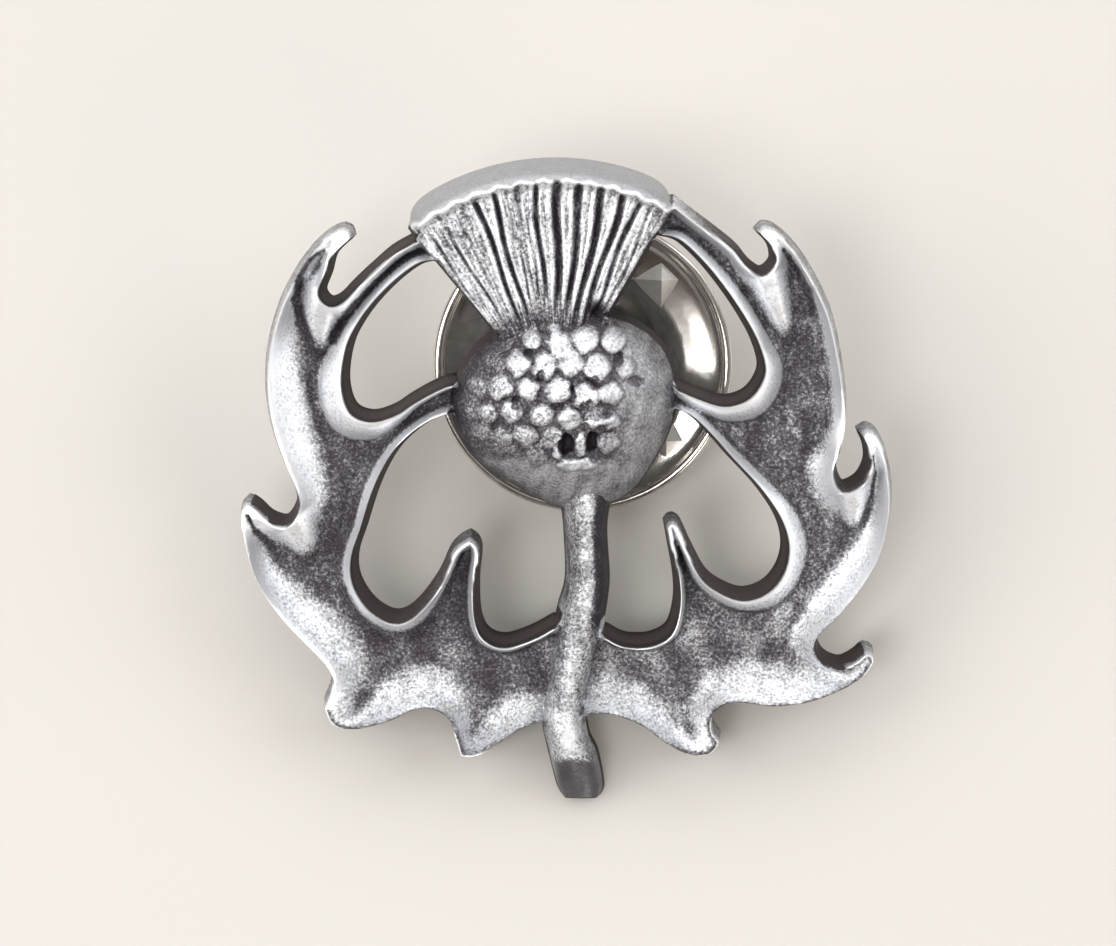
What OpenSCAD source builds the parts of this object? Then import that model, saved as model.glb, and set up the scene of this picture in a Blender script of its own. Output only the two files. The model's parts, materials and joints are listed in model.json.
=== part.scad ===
// Thistle lapel pin: one pewter casting, a tack post and a butterfly clutch.
// Every piece is drawn flat, with the casting's back on z = 0 and its face
// towards +z, and is then laid down as the pin lies by itself: on the end of
// the stem and on the two wings of the clutch.

/* [Casting] */
// Height of the leaves' raised rims above the flat back
rim_h = 1.9; // [1.5:0.1:2.4]
// Height of the valleys between the rims
valley_h = 0.8; // [0.5:0.1:1.2]
// How far the cast walls lean out towards the back
draft = 0.2; // [0.1:0.02:0.3]
// Width of the narrow crest along each rim
crest_w = 0.28; // [0.2:0.02:0.34]
// Spacing of the points that carry the leaves' relief
relief_step = 0.5; // [0.4:0.05:0.8]

/* [Tuft] */
// Radius of the tuft's fan
tuft_r = 9.5; // [9.2:0.1:9.8]
// Height of the tuft's upper rim
tuft_h = 2.2; // [1.8:0.1:2.8]
// Depth of the flutes between the petals
flute_depth = 0.45; // [0.2:0.05:0.7]

/* [Seed head] */
// Height of the dome
head_h = 3.3; // [2.6:0.1:4]
// Diameter of one bead
bead_d = 1.04; // [0.8:0.02:1.1]
// Distance between beads in a row
bead_pitch = 1.04; // [1:0.02:1.2]
// Distance between the rows of beads
bead_rows_gap = 0.95; // [0.9:0.05:1.2]

/* [Tack post] */
// Diameter of the post
post_d = 1.1; // [1:0.05:1.2]
// How far the post's tip stands behind the casting
post_l = 6.0; // [5.8:0.1:6.1]
// Diameter of the flat head that is set into the back
post_head_d = 3.2; // [2.6:0.1:3.6]

/* [Clutch] */
// Outer diameter of the dished cap
cap_d = 11.7; // [11:0.1:12]
// Gap between the casting's back and the cap's rim
cap_gap = 1.2; // [1:0.1:1.4]
// Outer diameter of the housing
housing_d = 5.6; // [5.2:0.1:6]
// Width of the spring strip and its wings
wing_w = 3.0; // [2.6:0.1:3.2]
// Distance from the post to a wing's end
wing_reach = 5.2; // [4.8:0.1:5.4]

/* [Hidden] */
pewter = [0.56, 0.57, 0.61];
steel = [0.75, 0.75, 0.76];
nickel = [0.83, 0.83, 0.84];
gap = 0.04;
post_at = [0.6, 4.1];
curve_steps = 3;
relief_margin = 0.46;

// Left leaf, from the tuft round its outer side to the stem and back up its
// inner side to the tuft. A row is [x, y, slope]: a point of the rim's outer
// line, and how far the rim slopes down from there to the valley. A stretch
// with slope 0 is buried in the tuft, the head or the stem.
left_arm_top = [[-5.9, 9.2, 0.5], [-6.6, 8.8, 0.5], [-7.3, 8.2, 0.55], [-8.0, 7.55, 0.7],
    [-8.6, 6.95, 0.9], [-9.1, 6.8, 1.0], [-9.45, 7.25, 0.7], [-9.2, 8.0, 0.45],
    [-9.0, 8.7, 0.3], [-8.6, 9.15, 0.3]];
left_hook = [[-8.3, 9.4, 0.3], [-8.5, 9.65, 0.3], [-9.1, 9.35, 0.3], [-9.8, 8.65, 0.4],
    [-10.5, 7.6, 0.55], [-11.0, 6.5, 0.8], [-11.4, 5.0, 1.1], [-11.5, 3.5, 1.4],
    [-11.3, 2.0, 1.5], [-10.85, 0.6, 1.4], [-10.4, -0.5, 1.1], [-10.35, -1.1, 0.9],
    [-10.8, -1.75, 0.9], [-11.5, -1.6, 0.7], [-12.0, -1.15, 0.4]];
left_barb = [[-12.3, -0.95, 0.3], [-12.5, -1.4, 0.4], [-12.4, -2.7, 0.6], [-12.0, -4.0, 0.8],
    [-11.1, -5.4, 1.2], [-10.0, -6.6, 1.4], [-9.2, -7.5, 1.2], [-9.05, -8.1, 0.6]];
left_low_spine = [[-9.35, -8.95, 0.3], [-9.1, -9.5, 0.4], [-8.5, -9.75, 0.4], [-7.7, -9.7, 0.6],
    [-6.8, -9.45, 0.8], [-6.0, -9.05, 1.0], [-5.3, -9.0, 1.0], [-4.6, -9.4, 0.6],
    [-4.3, -10.1, 0.4]];
left_foot = [[-4.1, -10.8, 0.3], [-3.5, -10.75, 0.4], [-2.6, -10.3, 0.6], [-1.7, -9.75, 0.8]];
left_in_stem = [[-1.0, -9.5, 0], [0.1, -9.3, 0], [0.3, -6.2, 0]];
left_spike_low = [[-0.5, -5.7, 0.5], [-1.3, -6.15, 0.5], [-2.4, -6.5, 0.6], [-3.2, -6.2, 0.6],
    [-3.55, -5.4, 0.5], [-3.6, -4.0, 0.4], [-3.5, -2.8, 0.3]];
left_spike_top = [[-3.75, -2.35, 0.3], [-4.3, -2.8, 0.3], [-4.8, -3.85, 0.4], [-5.5, -4.85, 0.7],
    [-6.2, -5.45, 0.9], [-6.9, -5.5, 0.9], [-7.7, -4.95, 0.9], [-8.25, -4.0, 0.8],
    [-8.3, -3.0, 0.7], [-7.95, -1.9, 0.6], [-7.5, -0.5, 0.7], [-7.0, 0.6, 0.6],
    [-6.4, 1.45, 0.4], [-5.5, 2.2, 0.35], [-4.6, 2.6, 0.3]];
left_in_head = [[-3.4, 2.9, 0]];
left_arm_low = [[-4.4, 3.8, 0.3], [-5.1, 3.5, 0.3], [-5.9, 3.05, 0.35], [-6.6, 2.6, 0.5],
    [-7.5, 2.35, 0.9], [-8.3, 2.7, 1.1], [-8.6, 3.8, 1.0], [-8.4, 5.2, 0.6], [-7.9, 6.2, 0.45],
    [-7.2, 7.1, 0.4], [-6.3, 7.95, 0.4], [-5.5, 8.45, 0.35]];
left_in_tuft = [[-4.7, 8.5, 0], [-4.9, 9.6, 0]];
left_leaf_line = [left_arm_top, left_hook, left_barb, left_low_spine, left_foot, left_in_stem,
    left_spike_low, left_spike_top, left_in_head, left_arm_low, left_in_tuft];

// Right leaf, from the tuft round its outer side to the stem and back up.
right_arm_top = [[4.0, 10.7, 0.5], [4.7, 10.15, 0.5], [5.5, 9.55, 0.5], [6.3, 8.9, 0.45],
    [6.8, 8.3, 0.5], [7.4, 7.95, 0.7], [7.9, 8.4, 0.6], [7.8, 9.1, 0.35]];
right_hook = [[7.3, 9.65, 0.3], [7.75, 9.65, 0.3], [8.5, 9.0, 0.35], [9.2, 8.0, 0.5],
    [9.9, 6.6, 0.6], [10.3, 5.1, 0.7], [10.55, 3.6, 0.7], [10.6, 2.4, 0.7], [10.4, 1.1, 0.8],
    [10.25, 0.3, 1.0], [10.6, -0.4, 1.0], [11.3, -0.1, 0.7], [11.65, 0.6, 0.45],
    [11.6, 1.3, 0.3]];
right_barb = [[11.35, 1.85, 0.3], [11.7, 1.8, 0.3], [12.1, 1.1, 0.35], [12.38, -0.1, 0.5],
    [12.4, -1.3, 0.6], [12.1, -2.8, 0.8], [11.5, -4.0, 1.0], [10.6, -5.2, 1.0],
    [9.9, -5.9, 0.8], [9.6, -6.5, 0.8], [9.9, -7.1, 0.6], [10.6, -7.4, 0.4], [11.2, -7.15, 0.3]];
right_low_barb = [[11.6, -6.8, 0.3], [11.8, -7.05, 0.3], [11.3, -7.75, 0.5], [10.4, -8.35, 0.8],
    [9.3, -8.75, 1.0], [8.0, -8.9, 1.1], [6.8, -8.75, 1.0], [6.1, -8.8, 0.8],
    [5.6, -9.25, 0.6], [5.55, -9.85, 0.4]];
right_foot = [[5.85, -10.3, 0.3], [5.5, -10.7, 0.3], [4.7, -10.75, 0.4], [3.8, -10.35, 0.6],
    [2.9, -9.7, 0.8], [2.0, -9.3, 0.9], [1.3, -9.2, 0.7]];
right_in_stem = [[0.5, -9.3, 0], [-0.1, -9.0, 0], [0.7, -6.3, 0]];
right_spike_low = [[1.5, -6.1, 0.4], [2.2, -6.45, 0.4], [3.2, -6.45, 0.5], [4.0, -6.0, 0.5],
    [4.3, -5.0, 0.4], [4.3, -4.0, 0.35], [4.1, -2.8, 0.3]];
right_spike_top = [[3.9, -1.75, 0.3], [4.15, -1.75, 0.3], [4.6, -2.7, 0.3], [5.2, -3.8, 0.4],
    [5.9, -4.35, 0.5], [6.8, -4.65, 0.6], [7.7, -4.35, 0.8], [8.3, -3.6, 0.8],
    [8.5, -2.6, 0.8], [8.2, -1.5, 0.7], [7.4, -0.3, 0.5], [6.3, 0.9, 0.4], [5.5, 1.8, 0.35],
    [4.6, 2.6, 0.3]];
right_in_head = [[3.3, 3.0, 0]];
right_arm_low = [[4.2, 3.6, 0.4], [5.1, 3.2, 0.6], [6.1, 2.95, 0.8], [7.0, 3.3, 1.0],
    [7.5, 4.2, 0.8], [7.3, 5.2, 0.5], [6.8, 6.2, 0.5], [6.0, 7.4, 0.5], [5.1, 8.5, 0.45],
    [4.2, 9.3, 0.4]];
right_in_tuft = [[3.4, 9.5, 0], [3.1, 10.4, 0]];
right_leaf_line = [right_arm_top, right_hook, right_barb, right_low_barb, right_foot,
    right_in_stem, right_spike_low, right_spike_top, right_in_head, right_arm_low, right_in_tuft];

// The flutes fan out from one point: each has an angle from straight up, and
// a share of the full depth.
fan_at = [-0.45, 2.6];
fan_edges = [-37.5, 28.5];
flutes = [[-35, 0.3], [-30.3, 0.6], [-25.5, 0.4], [-21, 1], [-16.3, 1], [-10.6, 0.7],
    [-5.2, 1], [0.6, 1.1], [6.3, 1.1], [11.8, 1], [16.7, 1], [20.9, 0.8], [25, 0.4]];
// Down a flute: [distance from the fan's point, height, share of the flute's depth]
tuft_rows = [[3.2, 1.6, 0.2], [4.2, 1.9, 0.6], [5.6, 2.0, 1], [7.2, 2.1, 1], [8.4, 2.15, 1],
    [8.9, 2.2, 0.4]];

// The seed head's radius every 30 degrees, from +x round by +y
head_at = [-0.15, 2.9];
head_radii = [4.42, 4.48, 4.0, 3.6, 3.7, 4.1, 4.4, 4.2, 3.85, 4.2, 4.45, 4.25];
head_sides = 36;
head_rings = 8;
first_bead = [-1.4, 5.45];
pits = [[0.0, 1.6], [1.05, 1.65]];
bar_at = [0.4, 0.75];
bar_slope = 0.04;

// The stem, from the head down: [y, middle x, half width, height of its crest]
stem_rows = [[0.2, 0.7, 0.9, 2.1], [-0.8, 0.7, 0.88, 2.1], [-2.2, 0.7, 0.74, 2.1], [-4.0, 0.78, 0.76, 2.0],
    [-5.0, 0.62, 0.84, 2.0], [-6.2, 0.38, 0.88, 1.95], [-8.0, 0.05, 0.8, 1.95],
    [-9.3, -0.18, 0.76, 1.95], [-10.3, -0.02, 0.8, 1.95], [-11.0, 0.22, 0.88, 1.9],
    [-12.3, 0.5, 0.84, 0.95], [-12.75, 0.55, 0.7, 0.6], [-12.9, 0.55, 0.55, 0.4]];
stem_end = [0.55, -12.95];

// The cap's dish and the clutch's levels, as depths behind the casting's back
cap_sheet = 0.3;
cap_lip_r = 0.2;
dish_depth = cap_gap + 1.0;
tooth_d = 2.0;
tooth_h = 0.9;
tooth_at = 4.25;
housing_top = dish_depth + cap_sheet + gap;
housing_end = 5.3;
housing_wall = 0.3;
hole_d = post_d + 0.14;
wing_t = 0.35;
strip_depth = 3.6;
wing_end_depth = 6.2;

// The pose at rest: the stem's end and the wings' lower corners touch down
wing_corner = [post_at[1] - wing_w / 2, -wing_end_depth];
rest_tilt = atan2(-wing_corner[1], wing_corner[0] - stem_end[1]);
stem_lift = -stem_end[1] * sin(rest_tilt);
top_y = (fan_at[1] + tuft_r + draft) * cos(rest_tilt);
low_y = stem_end[1] * cos(rest_tilt) - 0.4 * sin(rest_tilt);
middle_x = -0.04;

module lay_at_rest()
{
    translate([-middle_x, -(top_y + low_y) / 2, stem_lift])
        rotate([rest_tilt, 0, 0])
            children();
}

// Smooth curve through b and c, with a and d as the points before and after
function curve_at(a, b, c, d, t) =
    0.5 * (2 * b + (c - a) * t + (2 * a - 5 * b + 4 * c - d) * t * t
        + (3 * b - a - 3 * c + d) * t * t * t);

// One stretch of a leaf's line, up to the first row of the next stretch
function stretch(rows, next) = let (all = concat(rows, [next]), last = len(all) - 1)
    [for (i = [0 : last - 1]) for (k = [0 : curve_steps - 1])
        curve_at(all[max(i - 1, 0)], all[i], all[i + 1], all[min(i + 2, last)],
            k / curve_steps)];

function whole_line(stretches) = [for (i = [0 : len(stretches) - 1])
    each stretch(stretches[i], stretches[(i + 1) % len(stretches)][0])];

function flat(p) = [p[0], p[1]];

// Sideways direction at each point of a closed line, out of the shape
function outward(line, i, side) = let (n = len(line),
    along = flat(line[(i + 1) % n]) - flat(line[(i + n - 1) % n]))
    side * [along[1], -along[0]] / norm(along);

// 1 for a line that runs anticlockwise, -1 for one that runs clockwise
function turn_of(line) = let (n = len(line))
    sign([for (p = line) 1] * [for (i = [0 : n - 1])
        line[i][0] * line[(i + 1) % n][1] - line[(i + 1) % n][0] * line[i][1]]);

// Leaning walls: the line itself at the rims' height, pushed out at the back
module drafted(line)
{
    n = len(line);
    side = turn_of(line);
    function ring(z) = [for (i = [0 : n - 1])
        let (p = flat(line[i]) + outward(line, i, side) * draft * (1 - z / rim_h))
            [p[0], p[1], z]];
    up = [for (i = [0 : n - 1]) i + n];
    down = [for (i = [0 : n - 1]) n - 1 - i];
    walls = [for (i = [0 : n - 1]) let (j = (i + 1) % n)
        each [[i, i + n, j + n], [i, j + n, j]]];
    faces = concat([[for (i = [0 : n - 1]) n - 1 - i + n]], [[for (i = [0 : n - 1]) i]],
        [for (w = walls) w]);
    polyhedron(points = concat(ring(0), ring(rim_h)),
        faces = side > 0 ? faces : [for (f = faces) [for (k = [len(f) - 1 : -1 : 0]) f[k]]]);
}

// How far down its slope a point lies: 0 on a rim's line, 1 on the valley floor
function down_slope(p, walls) = min(1, min([for (w = walls)
    let (q = p - w[0], t = max(0, min(1, q * w[2]))) norm(q - t * w[1]) / w[3]]));

// The leaf's free edges as [start, run, run for the share along it, slope]
function free_edges(line) = let (n = len(line))
    [for (i = [0 : n - 1]) let (a = flat(line[i]), b = flat(line[(i + 1) % n]), run = b - a,
        slope = min(line[i][2], line[(i + 1) % n][2]))
        if (slope > 0.05) [a, run, run / (run * run), slope]];

function leaf_height(p, walls) = let (t = down_slope(p, walls))
    rim_h - 0.15 - (rim_h - 0.15 - valley_h) * pow(max(0, (t - 0.2) / 0.8), 1.2);

// A block whose top is the leaf's relief, larger than the leaf
module relief_block(line)
{
    walls = free_edges(line);
    xs = [for (p = line) p[0]];
    ys = [for (p = line) p[1]];
    x0 = min(xs) - relief_margin;
    y0 = min(ys) - relief_margin;
    nx = ceil((max(xs) + 0.5 - x0) / relief_step);
    ny = ceil((max(ys) + 0.5 - y0) / relief_step);
    top = [for (j = [0 : ny]) for (i = [0 : nx])
        let (p = [x0 + i * relief_step, y0 + j * relief_step])
            [p[0], p[1], leaf_height(p, walls)]];
    x1 = x0 + nx * relief_step;
    y1 = y0 + ny * relief_step;
    corners = [[x0, y0, -1], [x1, y0, -1], [x1, y1, -1], [x0, y1, -1]];
    c = len(top);
    row = nx + 1;
    cells = [for (j = [0 : ny - 1]) for (i = [0 : nx - 1]) let (a = j * row + i)
        each (i + j) % 2 == 0
            ? [[a, a + row + 1, a + row], [a, a + 1, a + row + 1]]
            : [[a, a + 1, a + row], [a + 1, a + row + 1, a + row]]];
    front = concat([c, c + 1], [for (i = [nx : -1 : 0]) i]);
    right = concat([c + 1, c + 2], [for (j = [ny : -1 : 0]) j * row + nx]);
    back = concat([c + 2, c + 3], [for (i = [0 : nx]) ny * row + i]);
    left = concat([c + 3, c], [for (j = [0 : ny]) j * row]);
    polyhedron(points = concat(top, corners),
        faces = [for (f = concat(cells, [front, right, back, left, [c + 3, c + 2, c + 1, c]]))
            [for (k = [len(f) - 1 : -1 : 0]) f[k]]]);
}

// One leaf: a ring of pewter with raised rims, spines and an open middle
module leaf(stretches)
{
    line = whole_line(stretches);
    intersection()
    {
        drafted(line);
        union()
        {
            relief_block(line);
            crest(line);
        }
    }
}

// The crest: a narrow ridge of full height along the leaf's whole line
module crest(line)
{
    linear_extrude(rim_h + 0.5)
        difference()
        {
            offset(delta = 0.5)
                polygon([for (p = line) flat(p)]);
            offset(delta = -crest_w)
                polygon([for (p = line) flat(p)]);
        }
}

// A closed skin over a grid of points whose border lies on the back
module lid(rows)
{
    nr = len(rows);
    nc = len(rows[0]);
    points = [for (r = rows) each r];
    cells = [for (j = [0 : nr - 2]) for (i = [0 : nc - 2]) let (a = j * nc + i)
        each [[a, a + nc, a + nc + 1], [a, a + nc + 1, a + 1]]];
    border = concat([for (i = [0 : nc - 2]) i], [for (j = [0 : nr - 2]) j * nc + nc - 1],
        [for (i = [nc - 1 : -1 : 1]) (nr - 1) * nc + i], [for (j = [nr - 1 : -1 : 1]) j * nc]);
    polyhedron(points = points, faces = concat(cells, [[for (k = [0 : len(border) - 1])
        border[k]]]));
}

function fan_point(r, angle, z) =
    [fan_at[0] + r * sin(angle), fan_at[1] + r * cos(angle), z];

// Columns across the tuft: [angle, share of the flute's depth there]
function tuft_columns() = let (last = len(flutes) - 1)
    concat([[fan_edges[0], 0.5], [fan_edges[0] + 1.2, 0]],
        [for (i = [0 : last]) let (f = flutes[i], g = i < last ? flutes[i + 1] : [fan_edges[1], 0],
            step = g[0] - f[0])
            each [[f[0], f[1]], [f[0] + 0.3 * step, 0.25 * f[1]], [f[0] + 0.5 * step, 0],
                [f[0] + 0.7 * step, 0.25 * g[1]]]],
        [[fan_edges[1], 0.5]]);

// The tuft: a fluted fan with a smooth rim and rounded upper corners
module tuft()
{
    columns = tuft_columns();
    mid = (fan_edges[0] + fan_edges[1]) / 2;
    half = (fan_edges[1] - fan_edges[0]) / 2;
    function reach(a) = tuft_r - 0.5 * pow(abs(a - mid) / half, 14);
    function edge_angle(a, r) = a + sign(a - mid) * draft / r * 57;
    function row(r_of, z, share) = concat(
        [fan_point(r_of(columns[0][0]), edge_angle(columns[0][0], 7), 0)],
        [for (c = columns) fan_point(r_of(c[0]), c[0], z - flute_depth * c[1] * share)],
        [fan_point(r_of(fan_edges[1]), edge_angle(fan_edges[1], 7), 0)]);
    function flat_row(r_of) = concat(
        [fan_point(r_of(columns[0][0]), edge_angle(columns[0][0], 7), 0)],
        [for (c = columns) fan_point(r_of(c[0]), c[0], 0)],
        [fan_point(r_of(fan_edges[1]), edge_angle(fan_edges[1], 7), 0)]);
    rows = concat([flat_row(function (a) 3.0)],
        [for (t = tuft_rows) row(function (a) t[0] * reach(a) / tuft_r, t[1], t[2])],
        [row(function (a) reach(a) - 0.25, tuft_h - 0.05, 0.1),
            row(function (a) reach(a), tuft_h - 0.45, 0)],
        [flat_row(function (a) reach(a) + draft)]);
    lid(rows);
}

// Radius of the seed head in one direction, smooth between the table's values
function head_r(angle) = let (a = (angle + 360) % 360 / 30, i = floor(a), n = len(head_radii))
    curve_at(head_radii[(i + n - 1) % n], head_radii[i % n], head_radii[(i + 1) % n],
        head_radii[(i + 2) % n], a - i);

// Height of the seed head's dome above a point
function dome_z(p) = let (q = p - head_at, share = norm(q) / head_r(atan2(q[1], q[0])))
    share >= 1 ? 0 : head_h * sqrt(1 - pow(share, 2.2));

module dome()
{
    rings = [for (k = [0 : head_rings - 1]) let (lean = 90 * k / head_rings)
        for (s = [0 : head_sides - 1])
            let (a = 360 * (s + (k % 2) / 2) / head_sides, r = head_r(a) * cos(lean),
                z = head_h * sqrt(1 - pow(cos(lean), 2.2)))
                [head_at[0] + r * cos(a), head_at[1] + r * sin(a), z]];
    n = head_sides;
    sides = [for (k = [0 : head_rings - 2]) for (s = [0 : n - 1])
        let (a = k * n + s, b = k * n + (s + 1) % n) each k % 2 == 0
            ? [[a, a + n, b], [a + n, b + n, b]]
            : [[a, a + n, b + n], [a, b + n, b]]];
    cap = [for (s = [0 : n - 1])
        [(head_rings - 1) * n + s, head_rings * n, (head_rings - 1) * n + (s + 1) % n]];
    polyhedron(points = concat(rings, [[head_at[0], head_at[1], head_h]]),
        faces = concat([[for (s = [0 : n - 1]) s]], sides, cap));
}

// Staggered rows of beads over the dome's upper part, worn away to the right
module beads()
{
    for (j = [0 : 4])
        for (i = [-2 : 3])
        {
            p = first_bead + [bead_pitch * (i - (j % 2) / 2), -bead_rows_gap * j];
            q = p - head_at;
            worn = p[0] > 1.4 ? 0.12 : 0.02;
            clear_of_pits = min(norm(p - pits[0]), norm(p - pits[1])) > 0.6;
            if (norm(q) < 0.86 * head_r(atan2(q[1], q[0])) && clear_of_pits)
                translate([p[0], p[1], dome_z(p) - bead_d * 0.12 - worn])
                    hull()
                        for (sink = [0, bead_d * 0.3])
                            translate([0, 0, -sink])
                                sphere(d = bead_d, $fn = 8);
        }
}

// The worn bar below the two pits
module head_bar()
{
    hull()
        for (dx = [-0.6, 0.6])
            translate([bar_at[0] + dx, bar_at[1] + dx * bar_slope,
                dome_z(bar_at + [dx, dx * bar_slope]) - 0.05])
                sphere(d = 0.36, $fn = 8);
}

module seed_head()
{
    difference()
    {
        union()
        {
            dome();
            beads();
            head_bar();
        }
        for (p = pits)
            translate([p[0], p[1], dome_z(p) - 0.5])
                cylinder(d1 = 0.4, d2 = 0.7, h = 1, $fn = 8);
    }
}

// The stem: flat below, rounded over its crest, with a slanting cut at its end
module stem()
{
    profile = [[-1, 0], [-1, 0.72], [-0.6, 0.95], [0, 1], [0.6, 0.95], [1, 0.72], [1, 0]];
    function half(row, p) = row[2] + (p[1] > 0 ? 0 : draft * 0.6);
    function across(row) = [for (p = profile)
        [row[1] + p[0] * half(row, p), row[0], row[3] * p[1]]];
    function closing(row, y, bulge) = [for (p = profile)
        [row[1] + p[0] * half(row, p), y + bulge * (1 - p[0] * p[0]) - bulge, 0]];
    last = len(stem_rows) - 1;
    lid(concat([closing(stem_rows[last], stem_end[1], -0.02)],
        [for (i = [last : -1 : 0]) across(stem_rows[i])],
        [closing(stem_rows[0], stem_rows[0][0] + 0.2, 0.1)]));
}

// The pewter casting, with a round seat in its back for the post's head
module thistle_casting()
{
    color(pewter)
        lay_at_rest()
            difference()
            {
                union()
                {
                    leaf(left_leaf_line);
                    leaf(right_leaf_line);
                    tuft();
                    seed_head();
                    stem();
                }
                translate([post_at[0], post_at[1], -1])
                    cylinder(d = post_head_d + 2 * gap, h = 1.5 + gap, $fn = 40);
            }
}

// The steel post: flat head, shank and a notched point for the clutch's grip
module tack_post()
{
    r = post_d / 2;
    color(steel)
        lay_at_rest()
            translate([post_at[0], post_at[1], 0])
                rotate_extrude($fn = 48)
                    polygon([[0, 0.5], [post_head_d / 2, 0.5], [post_head_d / 2, 0], [r, 0],
                        [r, 1.4 - post_l], [r * 0.72, 1.3 - post_l], [r * 0.72, 1.0 - post_l],
                        [r, 0.8 - post_l], [0.1, -post_l], [0, -post_l]]);
}

// The dished disc with its rolled lip
module dish()
{
    rim_r = cap_d / 2;
    lip_z = -cap_gap - cap_lip_r;
    inner = rim_r - cap_lip_r;
    rotate_extrude($fn = 96)
        polygon([[hole_d / 2, -dish_depth], [2.4, -dish_depth], [3.4, -dish_depth + 0.14],
            [4.4, -dish_depth + 0.4], [inner, lip_z], [inner, lip_z - cap_sheet],
            [4.5, -dish_depth + 0.1], [3.5, -dish_depth - 0.16],
            [2.4, -dish_depth - cap_sheet], [hole_d / 2, -dish_depth - cap_sheet]]);
    translate([0, 0, lip_z])
        rotate_extrude($fn = 96)
            translate([rim_r - cap_lip_r, 0])
                circle(r = cap_lip_r, $fn = 24);
}

// The clutch's cap: a polished dish with four raised gripping teeth
module clutch_cap()
{
    color(nickel)
        lay_at_rest()
            translate([post_at[0], post_at[1], 0])
            {
                dish();
                for (k = [0 : 3])
                    rotate([0, 0, 45 + 90 * k])
                        translate([tooth_at, 0, -dish_depth + 0.2])
                            rotate([0, 0, 45])
                                cylinder(d1 = tooth_d, d2 = 0.08, h = tooth_h, $fn = 4);
            }
}

// The round housing behind the cap, with a window on each side for a wing
module clutch_housing()
{
    r = housing_d / 2;
    inner = r - housing_wall;
    color(nickel)
        lay_at_rest()
            translate([post_at[0], post_at[1], 0])
                difference()
                {
                    rotate_extrude($fn = 64)
                        polygon([[hole_d / 2, -housing_end], [r - 0.4, -housing_end],
                            [r, -housing_end + 0.4], [r, -housing_top], [inner, -housing_top],
                            [inner, -housing_end + 0.5], [inner - 0.2, -housing_end + 0.3],
                            [hole_d / 2, -housing_end + 0.3]]);
                    translate([-r - 1, -wing_w / 2 - 0.1, -strip_depth - 1.35])
                        cube([2 * r + 2, wing_w + 0.2, 1.6]);
                }
}

// The spring strip through the housing, with a bent wing at each end
module clutch_wings()
{
    color(nickel)
        lay_at_rest()
            translate([post_at[0], post_at[1], 0])
                difference()
                {
                    rotate([90, 0, 0])
                        translate([0, 0, -wing_w / 2])
                            linear_extrude(wing_w)
                                polygon([[-2.2, -strip_depth], [2.2, -strip_depth],
                                    [3.3, -strip_depth - 0.9],
                                    [wing_reach, -wing_end_depth + 0.25],
                                    [wing_reach - 0.25, -wing_end_depth],
                                    [3.05, -strip_depth - 1.2],
                                    [2.1, -strip_depth - wing_t], [-2.1, -strip_depth - wing_t],
                                    [-3.05, -strip_depth - 1.2],
                                    [0.25 - wing_reach, -wing_end_depth],
                                    [-wing_reach, -wing_end_depth + 0.25],
                                    [-3.3, -strip_depth - 0.9]]);
                    translate([0, 0, -strip_depth - 1])
                        cylinder(d = hole_d, h = 2, $fn = 32);
                }
}

thistle_casting();
tack_post();
clutch_cap();
clutch_housing();
clutch_wings();
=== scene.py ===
# %% [markdown]
# # A thistle lapel pin in antiqued pewter
#
# The pin lies face up by itself, propped on the end of its stem and on the
# wings of the clutch behind it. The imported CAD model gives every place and
# size. Blender adds what a caster and a polisher add: softly rounded rims,
# sharp flutes, worn beads, a dark patina in the hollows and bright metal
# where fingers rub, and the mirror polish of the clutch's dish.

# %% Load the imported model
import json
import math

import bpy
import numpy as np
from mathutils import Matrix, Vector
from mathutils.kdtree import KDTree
from mathutils.geometry import delaunay_2d_cdt


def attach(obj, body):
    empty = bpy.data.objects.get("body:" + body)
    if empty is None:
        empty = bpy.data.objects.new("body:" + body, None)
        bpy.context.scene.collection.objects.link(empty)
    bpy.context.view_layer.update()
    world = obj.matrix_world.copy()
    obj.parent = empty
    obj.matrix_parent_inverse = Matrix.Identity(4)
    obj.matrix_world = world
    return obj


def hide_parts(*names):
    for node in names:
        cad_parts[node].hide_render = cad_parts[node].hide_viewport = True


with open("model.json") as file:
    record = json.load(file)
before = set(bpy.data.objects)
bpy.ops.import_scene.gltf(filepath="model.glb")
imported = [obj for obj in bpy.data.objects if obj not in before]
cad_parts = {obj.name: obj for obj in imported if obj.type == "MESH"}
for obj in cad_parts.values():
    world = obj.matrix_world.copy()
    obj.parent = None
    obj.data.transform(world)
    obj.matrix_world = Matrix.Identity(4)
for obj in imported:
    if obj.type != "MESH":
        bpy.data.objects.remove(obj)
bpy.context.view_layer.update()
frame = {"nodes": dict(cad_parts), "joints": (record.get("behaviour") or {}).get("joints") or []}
print("CAD nodes:", sorted(frame["nodes"]))

# %% [markdown]
# ## The pin's own flat frame
#
# Relief is easiest to draw flat, so the casting is made with its back on
# z = 0 and its face towards +z, in millimetres, and laid down at the end.
# The tilt of the pin is the tilt of its post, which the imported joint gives.
# The middle of the post and the casting's back settle the rest.

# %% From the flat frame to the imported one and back
MM = 0.001
POST_FLAT = np.array([0.6, 4.1])

joint = next(j for j in frame["joints"] if j["name"] == "clutch_pull")
TILT = math.atan2(joint["axis"][1], -joint["axis"][2])
TURN = np.array([[1, 0, 0],
                 [0, math.cos(TILT), -math.sin(TILT)],
                 [0, math.sin(TILT), math.cos(TILT)]])


def turned_flat(node):
    """A node's vertices in mm, turned so that the casting's back is level."""
    return np.array([v.co for v in frame["nodes"][node].data.vertices]) / MM @ TURN


post_places = turned_flat("tack_post")
post_middle = (post_places.min(0) + post_places.max(0))[:2] / 2
SHIFT = np.append(post_middle - POST_FLAT, turned_flat("thistle_casting")[:, 2].min())


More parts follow.
